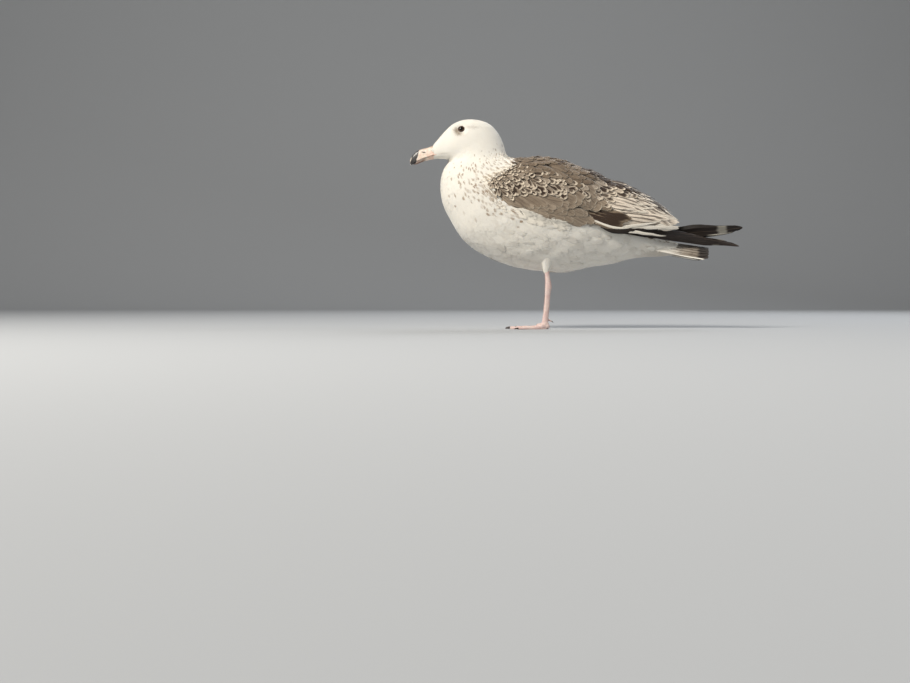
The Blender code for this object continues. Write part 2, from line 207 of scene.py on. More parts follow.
@dataclass
class Back(Loft):
    """The loft dressed with the folded wings: the coverts swell over the trunk's sides."""

    front: float = 11.5             # stations of the swelling's two ends
    rear: float = 17.05
    reach: float = 0.5              # how much lower feathers shift those ends
    slant: float = 0.45
    top: float = math.radians(14)   # angles of its upper and lower edge
    low: float = math.radians(95)
    lift: float = 2.5               # its rise at the edges, and what the middle adds, in millimetres
    depth: float = 6.0

    def points(self, along: Array, across: Array) -> Array:
        """Places on the dressed loft, in metres."""
        bare = super().points(along, across)
        s = self.step
        run = super().points(along + s, across) - super().points(along - s, across)
        turn = super().points(along, across + s) - super().points(along, across - s)
        return bare + unit(np.cross(turn, run)) * (self.swell(along, across) * MM)[..., None]

    def swell(self, along: Array, across: Array) -> Array:
        """How far the wing stands off the trunk, in millimetres."""
        v = (np.abs(across) - self.top) / (self.low - self.top)
        ahead = self.front - self.reach * v
        behind = self.rear + self.slant * v
        u = (along - ahead) / (behind - ahead)
        body = np.sin(np.pi * np.clip(0.12 + 0.8 * u, 0, 1)) * np.sin(np.pi * np.clip(v, 0, 1)) ** 0.6
        edge = window(u, -0.04, 0.22, 1.0, 1.3) * window(v, -0.17, 0.06, 0.96, 1.03)
        return (self.lift + self.depth * body * smooth(1.35, 0.95, u)) * edge


@dataclass
class Cone(Surface):
    """The feathered thigh: oval rings down a leg. Each row is y, z, half width, half depth."""

    rows: Array
    middle: float
    side: float
    back: float = 0.0

    def __post_init__(self) -> None:
        """Turns the normal outwards on either leg."""
        self.outward = -self.side

    def points(self, along: Array, across: Array) -> Array:
        """Places on the cone, in metres."""
        y, z, wide, deep = np.moveaxis(spline(self.rows, along), -1, 0)
        x = self.side * (self.middle + wide * np.cos(across))
        return np.stack((x, y + self.back + deep * np.sin(across), z), -1) * MM


# ---------------------------------------------------------------- one tuft or vane, and its mesh


@dataclass(frozen=True)
class Template:
    """The mesh of one tuft or feather, in shares of its length, half width and thickness.

    spots holds u along, v across and h up; edge holds the share of the width that is left to the
    outline; faces are triangles.
    """

    spots: Array
    edge: Array
    faces: Array


def prism(first: int, rings: int) -> list[tuple[int, int, int]]:
    """The sides of a prism whose rings of three vertices follow one another from a first vertex."""
    faces = []
    for a in range(first, first + 3 * (rings - 1), 3):
        for m, n in ((0, 1), (1, 2), (2, 0)):
            faces += [(a + m, a + 3 + m, a + 3 + n), (a + m, a + 3 + n, a + n)]
    return faces


def tuft(strands: int, rings: int, seed: int, ragged: float = 0.16, taper: float = 0.8) -> Template:
    """A soft feather as a spray of pointed strands, each a closed prism with a ridge.

    Args:
        strands: how many strands lie side by side.
        rings: how many rings each has before its tip.
        seed: what its small differences are drawn from.
        ragged: how much shorter a strand may be than its neighbours.
        taper: how far along a strand its point begins.

    Returns:
        The tuft.
    """
    rng = np.random.default_rng(seed)
    spots, faces = [], []
    for i in range(strands):
        centre = (i + 0.5) / strands * 2 - 1
        reach = 1 - 0.24 * centre * centre - rng.uniform(0, ragged)
        drift, rise = rng.normal(0, 0.05), rng.uniform(0.5, 1.2)
        half = 1.75 / strands
        first = len(spots)
        for u in np.linspace(0, taper, rings):
            spread = 0.35 + 0.65 * math.sin(math.pi / 2 * min(u / 0.5, 1))
            middle = centre * spread + drift * u
            wide = half * (0.5 + 0.5 * min(u / 0.4, 1))
            low = -0.7 * u
            spots += [
                (u * reach, middle - wide, low), (u * reach, middle, rise), (u * reach, middle + wide, low)]
        spots.append((reach, centre * 0.94 + drift, -1.7))
        faces += prism(first, rings)
        tip, ring = len(spots) - 1, first + 3 * (rings - 1)
        faces += [(ring + m, tip, ring + (m + 1) % 3) for m in range(3)]
        faces.append((first, first + 1, first + 2))
    placed = np.array(spots)
    return Template(placed, 1 - np.abs(placed[:, 1]).clip(0, 1), np.array(faces))


def vane(rows: int, columns: int, outline: Callable[[float], float], seed: int, notch: float = 0.05,
         splits: int = 1) -> Template:
    """A firm feather: a closed blade, thin at its edges, with a shaft along it.

    Args:
        rows: how many rows of faces lie along it.
        columns: how many across it.
        outline: the half width at a share of the length.
        seed: what its small differences are drawn from.
        notch: how uneven its edges are.
        splits: how many places its barbs have parted.

    Returns:
        The feather.
    """
    rng = np.random.default_rng(seed)
    levels = np.sin(np.linspace(0, 1, rows + 1) * math.pi / 2) ** 0.85
    cross = np.linspace(-1, 1, columns + 1)
    ragged = 1 - rng.uniform(0, notch, (2, rows + 1))
    for _ in range(splits):
        ragged[rng.integers(2), rng.integers(rows // 2, rows - 1)] -= rng.uniform(0.1, 0.22)
    spots, edge, top, bottom = [], [], [], []
    for i, u in enumerate(levels[:-1]):
        top.append([])
        bottom.append([])
        wide = outline(u)
        for j, v in enumerate(cross):
            side = ragged[0 if v < 0 else 1, i]
            place = wide * v * (1 + (side - 1) * abs(v) ** 3)
            rim = i == 0 or j in (0, columns)
            for grid, high in ((top, 1 - v * v), (bottom, -0.5 * (1 - v * v))):
                if grid is bottom and rim:
                    grid[-1].append(top[-1][j])
                    continue
                grid[-1].append(len(spots))
                spots.append((u, place, 0.0 if rim else high))
                edge.append((1 - abs(v)) * wide)
    tip = len(spots)
    spots.append((1.0, 0.0, 0.0))
    edge.append(0.0)
    faces = []
    for grid, flip in ((top, False), (bottom, True)):
        for i in range(rows - 1):
            for j in range(columns):
                a, b, c, d = grid[i][j], grid[i + 1][j], grid[i + 1][j + 1], grid[i][j + 1]
                pair = [(a, b, c), (a, c, d)]
                faces += [f[::-1] for f in pair] if flip else pair
        for j in range(columns):
            face = (grid[-1][j], tip, grid[-1][j + 1])
            faces.append(face[::-1] if flip else face)
    first, steps = len(spots), max(rows - 2, 3)
    for u in np.linspace(0, 0.93, steps + 1):
        thick = 0.05 * (1 - u) + 0.012
        spots += [(u, -thick, 0.75), (u, 0.0, 1.0 + 1.1 * (1 - u)), (u, thick, 0.75)]
        edge += [outline(u)] * 3
    last = first + 3 * steps
    faces += prism(first, steps + 1) + [(last, last + 2, last + 1), (first, first + 1, first + 2)]
    return Template(np.array(spots), np.array(edge), np.array(faces))


def rounded(u: float) -> float:
    """The outline of a covert: narrow at the root, full, with a round end."""
    opening = 0.3 + 0.7 * math.sin(math.pi / 2 * min(u / 0.45, 1))
    return opening * math.sqrt(max(1 - max((u - 0.62) / 0.38, 0) ** 2.2, 0))


def narrow_end(u: float) -> float:
    """The narrow round end of a long even feather."""
    return max(1 - max((u - 0.55) / 0.45, 0) ** 1.7, 0) ** 0.62


def pointed(u: float) -> float:
    """The outline of a flight feather of the arm: wide from its root on."""
    return (0.55 + 0.45 * min(u / 0.3, 1)) * narrow_end(u)


def bladed(u: float) -> float:
    """The outline of a hand feather: a thin root."""
    return (0.12 + 0.88 * min(u / 0.35, 1)) * narrow_end(u)


def squared(u: float) -> float:
    """The outline of a tail feather: widest near its blunt end."""
    return (0.45 + 0.55 * min(u / 0.7, 1)) * math.sqrt(max(1 - max((u - 0.86) / 0.14, 0) ** 2.4, 0))


@dataclass
class Feathers:
    """Many feathers of one kind: where each is rooted and how it lies. Lengths are metres."""

    along: Array
    across: Array
    length: Array
    half: Array
    yaw: Array
    deep: Array
    high: Array
    bend: Array
    cup: Array
    thick: Array
    look: Array
    tone: Array

    @classmethod
    def rooted(cls, along: Sequence[float], across: Sequence[float], rng: Rng, *, length: Numbers,
               half: Numbers, deep: float = 2.0, high: Numbers = 0.0, yaw: Numbers = 0.0, sway: float = 3.0,
               cup: float = 0.5, thick: float = 0.25, vary: float = 0.08,
               look: Sequence[Numbers] = (0, 0, 0, 0)) -> "Feathers":
        """Feathers rooted at given places, with small seeded differences.

        Args:
            along: first numbers of the roots.
            across: second numbers of the roots.
            rng: what the differences are drawn from.
            length: millimetres from root to tip.
            half: half width in millimetres.
            deep: how far the root lies under the surface, in millimetres.
            high: how far the tip stands over it, in millimetres.
            yaw: degrees that it turns from the lie of the surface.
            sway: the spread of that turn.
            cup: how far its edges drop, in millimetres.
            thick: its thickness in millimetres.
            vary: the spread of its length and width.
            look: four numbers that its finish reads.

        Returns:
            The feathers.
        """
        along = np.asarray(along, float)
        n = len(along)

        def full(value: Numbers, scale: float = 1.0) -> Array:
            """One number for each feather."""
            return np.broadcast_to(np.asarray(value, float), (n,)) * scale

        return cls(along=along, across=np.asarray(across, float),
                   length=full(length, MM) * (1 + rng.normal(0, vary, n)).clip(0.7, 1.3),
                   half=full(half, MM) * (1 + rng.normal(0, vary, n)).clip(0.7, 1.3),
                   yaw=np.radians(full(yaw) + rng.normal(0, 1, n) * sway), deep=full(deep, MM),
                   high=full(high, MM), bend=rng.normal(0, 3.0, n), cup=full(cup, MM), thick=full(thick, MM),
                   look=np.stack([full(x) for x in look], -1), tone=rng.random(n))

    def picked(self, keep: Array) -> "Feathers":
        """Some of these feathers, by mask or by number."""
        return Feathers(**{name: getattr(self, name)[keep] for name in self.__dataclass_fields__})


@dataclass
class Block:
    """A mesh in the making: places, normals, triangles and what the finishes read."""

    points: Array
    normals: Array
    faces: Array
    vane: Array
    look: Array
    bake: Array

    @staticmethod
    def joined(blocks: Sequence["Block"]) -> "Block":
        """Several blocks as one."""
        starts = np.cumsum([0] + [len(b.points) for b in blocks[:-1]])
        faces = np.concatenate([b.faces + s for b, s in zip(blocks, starts)])
        rest = {name: np.concatenate([getattr(b, name) for b in blocks])
                for name in ("points", "normals", "vane", "look", "bake")}
        return Block(faces=faces, **rest)


CENTRE_STEPS = 5


def dressed(
        f: Feathers, template: Template, points: Array, normals: Array, map_at: Array, patch: float) -> Block:
    """Gathers the placed vertices of many feathers into a block.

    Args:
        f: the feathers.
        template: the mesh of each.
        points: their vertices, feathers first.
        normals: the normals for them.
        map_at: where each feather's patch lies on the bake map.
        patch: how wide its patch is.

    Returns:
        The block.
    """
    n, m = len(f.along), len(template.spots)
    u, v = template.spots[:, 0], template.spots[:, 1]
    rim = np.minimum(template.edge[None, :] * f.half[:, None], (1 - u)[None, :] * f.length[:, None] * 0.8)
    told = np.stack((np.broadcast_to(u, (n, m)), np.broadcast_to(v * 0.5 + 0.5, (n, m)),
                     rim / (10 * MM), np.broadcast_to(f.tone[:, None], (n, m))), -1)
    local = np.stack((v.clip(-1, 1) * 0.5, u - 0.5), -1) * patch
    faces = template.faces[None] + (np.arange(n) * m)[:, None, None]
    return Block(points.reshape(-1, 3), normals.reshape(-1, 3), faces.reshape(-1, 3), told.reshape(-1, 4),
                 np.repeat(f.look, m, 0), (map_at[:, None] + local[None]).reshape(-1, 2))


def planted(
        surface: Surface, f: Feathers, template: Template, map_at: Array, patch: float = TUFT_PATCH) -> Block:
    """Lays feathers along a surface, each from its root, following the surface's curve.

    Args:
        surface: what they lie on.
        f: the feathers.
        template: the mesh of each.
        map_at: where each feather's patch lies on the bake map.
        patch: how wide its patch is.

    Returns:
        Their block.
    """
    here = np.stack((f.along, f.across), -1)
    places, sideways, ups = [], [], []
    for k in range(CENTRE_STEPS + 1):
        run, turn, up = surface.frames(here[:, 0], here[:, 1])
        ahead = unit(run)
        beside = np.cross(up, ahead)
        yaw = (f.yaw + f.bend * f.length * k / CENTRE_STEPS)[:, None]
        heading = ahead * np.cos(yaw) + beside * np.sin(yaw)
        side = np.cross(up, heading)
        places.append(here)
        sideways.append(surface.solve(run, turn, side))
        ups.append(up)
        here = here + surface.solve(run, turn, heading * (f.length / CENTRE_STEPS)[:, None])
    places, sideways, ups = (np.stack(x, 1) for x in (places, sideways, ups))
    u, v, h = template.spots.T
    at = np.clip(u * CENTRE_STEPS, 0, CENTRE_STEPS - 1e-6)
    low = at.astype(int)
    part = (at - low)[None, :, None]

    def between(rows: Array) -> Array:
        """Values between those of the shaft's steps."""
        return rows[:, low] * (1 - part) + rows[:, low + 1] * part

    param = between(places) + between(sideways) * (v[None, :] * f.half[:, None])[..., None]
    up = unit(between(ups))
    lift = (-f.deep[:, None] * (1 - u[None]) ** 1.3 + f.high[:, None] * u[None] ** 1.5
            - f.cup[:, None] * (v * v)[None] + h[None] * f.thick[:, None])
    points = surface.points(param[..., 0], param[..., 1]) + up * lift[..., None]
    return dressed(f, template, points, up, map_at, patch)


def spanned(paths: Array, ups: Array, f: Feathers, template: Template, map_at: Array, patch: float) -> Block:
    """Lays feathers along paths in space.

    Args:
        paths: the points that each shaft follows, feathers first, in metres.
        ups: the direction that each one's upper side faces at each of those points.
        f: their widths and looks.
        template: the mesh of each.
        map_at: where each feather's patch lies on the bake map.
        patch: how wide its patch is.

    Returns:
        Their block.
    """
    u, v, h = template.spots.T
    at = u * (paths.shape[1] - 1)
    moved = np.moveaxis(paths, 0, 1).reshape(paths.shape[1], -1)
    shape = (len(u), paths.shape[0], 3)
    middle = np.moveaxis(spline(moved, at).reshape(shape), 0, 1)
    ahead = np.moveaxis((spline(moved, at + 0.02) - spline(moved, at - 0.02)).reshape(shape), 0, 1)
    raised = np.moveaxis(ups, 0, 1).reshape(ups.shape[1], -1)
    up = unit(np.moveaxis(spline(raised, at).reshape(shape), 0, 1))
    side = unit(np.cross(up, unit(ahead)))
    up = unit(np.cross(unit(ahead), side))
    lift = h[None] * f.thick[:, None] - f.cup[:, None] * (v * v)[None]
    points = middle + side * (v[None] * f.half[:, None])[..., None] + up * lift[..., None]
    return dressed(f, template, points, up, map_at, patch)


# ---------------------------------------------------------------- shader maths


Number = Union[float, "Value"]
Input = Union[float, Sequence[float], "Value", Socket]


def by_math(operation: str, turned: bool = False) -> Callable[..., "Value"]:
    """A method for Value that adds one Math node.

    Args:
        operation: what the node works out.
        turned: whether the value comes last, as in 1 - mask.

    Returns:
        The method.
    """

    def method(self: "Value", *others: Number) -> "Value":
        """The result of the node."""
        terms = (*others, self) if turned else (self, *others)
        made = self.shop.node("ShaderNodeMath", {"operation": operation}, dict(enumerate(terms)))
        return Value(self.shop, made.outputs[0])

    return method


class Value:
    """A number in a shader. Expressions on it add its Math nodes."""

    def __init__(self, shop: "Shop", socket: Socket) -> None:
        """Wraps a socket."""
        self.shop = shop
        self.socket = socket

    __add__ = __radd__ = by_math("ADD")
    __mul__ = __rmul__ = by_math("MULTIPLY")
    __sub__ = by_math("SUBTRACT")
    __rsub__ = by_math("SUBTRACT", turned=True)
    __truediv__ = by_math("DIVIDE")
    __pow__ = by_math("POWER")
    __abs__ = by_math("ABSOLUTE")
    sine = by_math("SINE")
    fraction = by_math("FRACT")
    least = by_math("MINIMUM")
    most = by_math("MAXIMUM")

    def step(self, low: float, high: float) -> "Value":
        """A soft step from 0 at low to 1 at high. It falls where low is above high."""
        ends = (low, high, 0.0, 1.0) if low <= high else (high, low, 1.0, 0.0)
        names = ("From Min", "From Max", "To Min", "To Max")
        made = self.shop.node("ShaderNodeMapRange", {"interpolation_type": "SMOOTHSTEP"},
                              {"Value": self, **dict(zip(names, ends))})
        return Value(self.shop, made.outputs["Result"])


class Shop:
    """A material's node tree, and the few ways in which nodes are added to it."""

    def __init__(self, name: str) -> None:
        """Makes a named material with its shader."""
        self.material = bpy.data.materials.new(name)
        self.material.use_nodes = True
        self.tree = self.material.node_tree
        self.shader = self.tree.nodes["Principled BSDF"]

    def node(self, kind: str, settings: Optional[dict] = None,
             inputs: Optional[dict[Union[int, str], Input]] = None) -> bpy.types.Node:
        """Adds a node.

        Args:
            kind: its type.
            settings: its own settings, set first.
            inputs: values or links of its sockets, by name or number.

        Returns:
            The node.
        """
        made = self.tree.nodes.new(kind)
        for name, value in (settings or {}).items():
            setattr(made, name, value)
        for key, value in (inputs or {}).items():
            self.feed(made.inputs[key], value)
        return made

    def feed(self, socket: Socket, value: Input) -> None:
        """Links a value to a socket, or sets the socket to it."""
        if isinstance(value, Value):
            value = value.socket
        if isinstance(value, Socket):
            self.tree.links.new(value, socket)
        elif socket.type == "RGBA" and len(value) == 3:
            socket.default_value = (*value, 1)
        else:
            socket.default_value = value

    def told(self, name: str) -> tuple[Value, Value, Value, Value]:
        """The four numbers stored on the mesh under a name."""
        made = self.node("ShaderNodeAttribute", {"attribute_name": name})
        return (*self.split(made.outputs["Vector"]), Value(self, made.outputs["Alpha"]))

    def vane(self) -> tuple[Value, Value, Value, Value]:
        """Along a feather, across it from -1 to 1, its distance from the rim, and its own tone."""
        along, wide, rim, tone = self.told("vane")
        return along, wide * 2.0 - 1.0, rim, tone

    def split(self, socket: Socket) -> tuple[Value, ...]:
        """The three parts of a vector."""
        made = self.node("ShaderNodeSeparateXYZ", None, {0: socket})
        return tuple(Value(self, out) for out in made.outputs)

    def vector(self, x: Number, y: Number, z: Number) -> Socket:
        """A vector of three numbers."""
        return self.node("ShaderNodeCombineXYZ", None, {0: x, 1: y, 2: z}).outputs[0]

    def mix(self, share: Number, first: Input, second: Input) -> Socket:
        """Two colours mixed by a share."""
        made = self.node("ShaderNodeMix", {"data_type": "RGBA", "clamp_factor": True},
                         {0: share, 6: first, 7: second})
        return made.outputs[2]

    def over(self, colour: Input, *layers: tuple[Number, Input]) -> Input:
        """A colour under others, each laid on by its own share."""
        for share, layer in layers:
            colour = self.mix(share, colour, layer)
        return colour

    def noise(self, where: Input, scale: float, detail: float = 3.0, rough: float = 0.5) -> Value:
        """Soft noise from 0 to 1."""
        made = self.node("ShaderNodeTexNoise", None,
                         {"Vector": where, "Scale": scale, "Detail": detail, "Roughness": rough})
        return Value(self, made.outputs[0])

    def place(self) -> Socket:
        """The place on the bird in its own frame, in metres."""
        return self.node("ShaderNodeTexCoord").outputs["Object"]

    def bump(self, height: Number, depth: float, strength: float = 0.6) -> None:
        """Feeds a height in metres, from 0 to depth, to the shader's normal."""
        made = self.node("ShaderNodeBump", None, {"Strength": strength, "Distance": depth, "Height": height})
        self.feed(self.shader.inputs["Normal"], made.outputs[0])

    def finish(self, **constants: Input) -> Material:
        """Sets sockets of the shader, such as Roughness, and gives the material."""
        for name, value in constants.items():
            self.feed(self.shader.inputs[name.replace("_", " ")], value)
        return self.material


# ---------------------------------------------------------------- finishes


WHITE = srgb(241, 236, 225)
CREAM = srgb(232, 215, 194)
BROWN = srgb(124, 106, 86)
DARK = srgb(58, 43, 32)
BARB_DEPTH = 0.00012                  # metres
FLESH_GLOW = (0.004, 0.002, 0.001)    # how far red, green and blue light runs in skin and horn, in metres


@dataclass(frozen=True)
class Plumage:
    """Feathers whose markings follow each one's own length and width.

    The four numbers stored on each feather are: how pale its ground is, how strong the dark patch
    at its centre is, how mottled it is, and how wide its pale edge is in centimetres.
    """

    name: str
    pale: Colour
    ground: Colour
    dark: Colour
    edge: Colour
    drop: bool = False          # the dark patch is a drop near the tip, not the whole centre
    lens: float = 0.8           # how wide the dark centre grows
    variety: float = 0.34       # how much darker the darkest feather is than the palest
    streaks: float = 0.25       # how strong the fine streaks along the barbs are
    shaft: float = 0.25         # how dark the shaft is
    rough: float = 0.72
    sheen: float = 0.25
    barbs: float = BARB_DEPTH
    glow: float = 0             # how much light passes through

    def build(self) -> Material:
        """The material."""
        shop = Shop(self.name)
        along, side, rim, tone = shop.vane()
        pale, patch, mottle, fringe = shop.told("look")
        wave = shop.noise(shop.vector(along * 4, side * 1.4, tone * 91), 1, 2)
        streak = shop.noise(shop.vector(along * 2.2, side * 7 + along * 3, tone * 57), 1, 4, 0.6)
        wear = shop.noise(shop.vector(along * 6, side * 5, tone * 33), 1, 3, 0.65)
        own_tone = (tone * 7.3).fraction()
        calm = 1 - pale.most(0) * 0.65
        mottled = (mottle * streak.step(0.46, 0.58) * (1 - abs(side) * 0.3) * 1.3).least(1)
        off_centre = abs(side + (wave - 0.5) * 0.7)
        if self.drop:
            body = (1 - off_centre / 0.62).step(0, 0.7) * along.step(0.4, 0.66)
            body = body * (along + (wear - 0.5) * 0.2).step(1.02, 0.9)
        else:
            lens = off_centre / ((along - 0.1) * self.lens + 0.2 * self.lens)
            body = (1.2 - lens + (wear - 0.5) * 0.5).step(0.1, 0.5)
            body = body * (along + (wave - 0.5) * 0.4).step(0.98, 0.8)
        worn = fringe * (along.step(0.3, 0.95) * 1.3 + 0.1) * (wear * 2.4 - 0.35).most(0.02)
        border = (rim + (wave - 0.5) * 0.1) / (worn + 0.001)
        border = border.step(1.2, 0.45) * fringe.step(0, 0.03) * along.step(0.1, 0.5)
        lines = (along * 240 + abs(side) * 95 + wave * 9).sine() * 0.5 + 0.5
        shaft = abs(side).step(0.06, 0.015)
        ground = shop.mix((pale * -1).most(0), self.ground, self.dark)
        colour = shop.over(shop.mix(pale, ground, self.pale),
                           (own_tone * calm * self.variety, self.dark),
                           (streak.step(0.42, 0.7) * calm * self.streaks, self.dark),
                           (wear.step(0.5, 0.75) * self.streaks * 0.6, self.edge),
                           (mottled, self.dark),
                           ((body * patch).least(1), self.dark),
                           (border * (own_tone * 0.45 + 0.55), self.edge),
                           (shaft * self.shaft, self.dark),
                           (lines * 0.07, (0, 0, 0)))
        shop.bump(lines * 0.6 + shaft * 0.4, self.barbs)
        return shop.finish(Base_Color=colour, Roughness=self.rough, Sheen_Weight=self.sheen,
                           Sheen_Roughness=0.4, Specular_IOR_Level=0.25, Subsurface_Weight=self.glow,
                           Subsurface_Radius=(0.002, 0.0018, 0.0015))


@dataclass(frozen=True)
class FlightPlumage:
    """The primaries: blackish, browner within, the outermost with a pale mirror and a pale inner edge."""

    name: str

    def build(self) -> Material:
        """The material."""
        shop = Shop(self.name)
        along, side, rim, tone = shop.vane()
        outermost, strong, _, _ = shop.told("look")
        wave = shop.noise(shop.vector(along * 9, side * 2, tone * 71), 1, 3, 0.6)
        streak = shop.noise(shop.vector(along * 4, side * 9 - along * 6, tone * 31), 1, 4, 0.6)
        waved = along + (wave - 0.5) * 0.05
        mirror = waved.step(0.69, 0.73) * waved.step(0.81, 0.77)
        inner = (side + (wave - 0.5) * 0.2).step(0.5, 0.62) * along.step(0.6, 0.68) * along.step(0.99, 0.96)
        worn = (rim / 0.03).step(1.1, 0.4) * wave.step(0.4, 0.7)
        lines = (along * 420 + abs(side) * 120).sine() * 0.5 + 0.5
        shaft = abs(side).step(0.06, 0.02)
        colour = shop.over(srgb(34, 29, 27),
                           (streak.step(0.35, 0.7), srgb(54, 45, 39)),
                           ((tone * 7.3).fraction() * 0.4, srgb(28, 25, 24)),
                           (side.step(-0.1, 0.5) * along.step(0.8, 0.2) * 0.45, srgb(104, 92, 80)),
                           (mirror * outermost * strong * 0.6, srgb(176, 172, 160)),
                           (inner * outermost * strong * 0.9, srgb(214, 206, 190)),
                           (worn * 0.4, srgb(150, 138, 122)),
                           (shaft * 0.35, srgb(120, 104, 90)))
        shop.bump(lines * 0.6 + shaft * 0.4, BARB_DEPTH)
        return shop.finish(Base_Color=colour, Roughness=0.55, Specular_IOR_Level=0.2)


@dataclass(frozen=True)
class TailPlumage:
    """The tail's feathers: grey, barred, with a dark band before the tip and a white outer edge."""

    name: str = "plumage_tail"

    def build(self) -> Material:
        """The material."""
        shop = Shop(self.name)
        along, side, _, tone = shop.vane()
        outer = shop.told("look")[0]
        wave = shop.noise(shop.vector(along * 5, side * 2, tone * 71), 1, 3, 0.6)
        streak = shop.noise(shop.vector(along * 3, side * 9, tone * 31), 1, 4, 0.6)
        bars = (along * 40 + wave * 7).sine().step(0.3, 0.9) * wave.step(0.45, 0.6) * along.step(0.35, 0.6)
        band = (along + (wave - 0.5) * 0.1).step(0.8, 0.86)
        base = (along + (streak - 0.5) * 0.5).step(0.66, 0.3)
        edge = abs(side).step(0.6, 0.75) * outer.step(0.85, 0.95) * along.step(0.97, 0.9)
        lines = (along * 300 + abs(side) * 95).sine() * 0.5 + 0.5
        shaft = abs(side).step(0.07, 0.02)
        colour = shop.over(srgb(186, 174, 158),
                           (streak.step(0.35, 0.7), srgb(116, 103, 90)),
                           (along.step(0.45, 0.85) * 0.4, srgb(96, 84, 74)),
                           (bars * 0.5, srgb(70, 60, 52)),
                           (band * 0.94, srgb(44, 37, 33)),
                           (base, WHITE),
                           (edge, WHITE),
                           (shaft * 0.5 * (1 - band), srgb(214, 204, 188)))
        shop.bump(lines * 0.6 + shaft * 0.4, BARB_DEPTH)
        return shop.finish(Base_Color=colour, Roughness=0.62, Sheen_Weight=0.15, Specular_IOR_Level=0.25)


@dataclass(frozen=True)
class Skin:
    """The skin under the coat, pale or brown where the coat is."""

    name: str = "under_skin"

    def build(self) -> Material:
        """The material."""
        shop = Shop(self.name)
        pale, spot, _, _ = shop.told("look")
        down = shop.noise(shop.place(), 900, 4, 0.7)
        colour = shop.over(
            BROWN, (pale, WHITE), (spot, DARK), (down.step(0.3, 0.75) * 0.06, (0.05, 0.04, 0.03)))
        shop.bump(down, 0.0002)
        return shop.finish(Base_Color=colour, Roughness=0.85, Sheen_Weight=0.2)


@dataclass(frozen=True)
class Horn:
    """The bill's horn: flesh pink, a black band before a pale tip, and a dusky cutting edge."""

    name: str = "bill_horn"

    def build(self) -> Material:
        """The material."""
        shop = Shop(self.name)
        place = shop.place()
        _, y, z = (part * (1 / MM) for part in shop.split(place))
        grain = shop.noise(shop.vector(y * 0.12, z * 0.3, 0), 1, 4)
        blotch = shop.noise(place, 220, 3)
        mouth = 268 + (y + 262) * 0.44
        from_tip = y - BILL_TIP + (blotch - 0.5) * 2.2 - (z - 276) * 0.28
        low = (y + 238 + (blotch - 0.5) * 10).step(-8, 6) * (z - mouth - 7).step(4, -4)
        ridge = (z - 290.5 + (y + 250) * -0.22 + (grain - 0.5) * 3).step(-1, 2)
        under = (z - mouth + 0.4 + (grain - 0.5) * 1.5).step(0.6, -0.6)
        dusky = under * (y + 246 + (blotch - 0.5) * 6).step(4, -3) * from_tip.step(3, 6)
        edge = abs(z - mouth - 0.8 + (grain - 0.5) * 1.4).step(1.6, 0.5) * (y + 246).step(10, -2)
        # Painted shade: the cut nostril openings are painted dark.
        back = y - NOSTRIL[0]
        slit = (back / 4.1) * (back / 4.1) + ((z - NOSTRIL[1] + back * 0.176) / 0.95) ** 2
        band = from_tip.step(1.6, 2.8) * (from_tip + (grain - 0.5) * 2.4).step(12.2, 11) * (1 - under)
        tip = (from_tip * 0.6 + (z - 266) * 0.6).step(3.6, 2)
        colour = shop.over(srgb(226, 212, 197),
                           (blotch.step(0.35, 0.7), srgb(212, 190, 173)),
                           (low * 0.4, srgb(222, 172, 152)),
                           (ridge * 0.5, srgb(150, 128, 112)),
                           (dusky * 0.85, srgb(104, 70, 58)),
                           (edge * 0.55, srgb(110, 84, 72)),
                           (slit.step(1, 0.55) * 0.85, srgb(84, 58, 50)),
                           (band * 0.97, srgb(24, 26, 30)),
                           (tip, srgb(226, 220, 208)))
        shop.bump(grain * 0.7 + blotch * 0.3, 0.00035, 0.5)
        return shop.finish(Base_Color=colour, Roughness=grain * 0.2 + 0.28, Specular_IOR_Level=0.45,
                           Coat_Weight=0.15, Subsurface_Weight=0.08, Subsurface_Radius=FLESH_GLOW)


@dataclass(frozen=True)
class ScalySkin:
    """The bare skin of legs and feet: flesh pink, with scales, and painted shade in the creases between them.
    """

    name: str = "leg_skin_scaled"

    def build(self) -> Material:
        """The material."""
        shop = Shop(self.name)
        place = shop.place()
        cells = shop.node("ShaderNodeTexVoronoi", {"feature": "DISTANCE_TO_EDGE"},
                          {"Vector": place, "Scale": 1250.0})
        crease = Value(shop, cells.outputs[0]).step(0, 0.2)
        broad = shop.noise(place, 90, 3)
        fine = shop.noise(place, 1500, 2)
        stored = shop.node("ShaderNodeAttribute", {"attribute_name": "look"})
        scute = Value(shop, stored.outputs["Fac"])
        # Painted shade: darker in the creases between scales and in the furrows between plates. The skin off
        # the plates is darker too.
        colour = shop.over(srgb(236, 215, 208),
                           (broad.step(0.3, 0.7), srgb(224, 194, 187)),
                           (fine.step(0.4, 0.75) * 0.3, srgb(244, 228, 220)),
                           ((1 - crease) * 0.13 + scute.step(0.35, 0) * 0.18, srgb(150, 118, 111)))
        shop.bump(crease * 0.8 + fine * 0.2, 0.0002, 0.7)
        return shop.finish(Base_Color=colour, Roughness=0.48 + (1 - crease) * 0.2, Specular_IOR_Level=0.4,
                           Subsurface_Weight=0.12, Subsurface_Radius=FLESH_GLOW)


@dataclass(frozen=True)
class Eye:
    """A wet eye: black pupil, dark brown iris, darker rim."""

    name: str = "eye_wet"

    def build(self) -> Material:
        """The material."""
        shop = Shop(self.name)
        out, turn, _, _ = shop.told("look")
        turned = turn * math.tau
        circle = shop.vector(turned.sine() * 6, (turned + math.pi / 2).sine() * 6, out * 1.5)
        colour = shop.over(srgb(56, 36, 23),
                           (shop.noise(circle, 1.6, 3).step(0.3, 0.7), srgb(94, 65, 42)),
                           (out.step(0.4, 0.47), srgb(20, 13, 10)),
                           (out.step(0.29, 0.26), (0.001, 0.001, 0.001)))
        return shop.finish(Base_Color=colour, Roughness=0.08, Coat_Weight=0.1, Coat_Roughness=0.01,
                           Specular_IOR_Level=0.35)


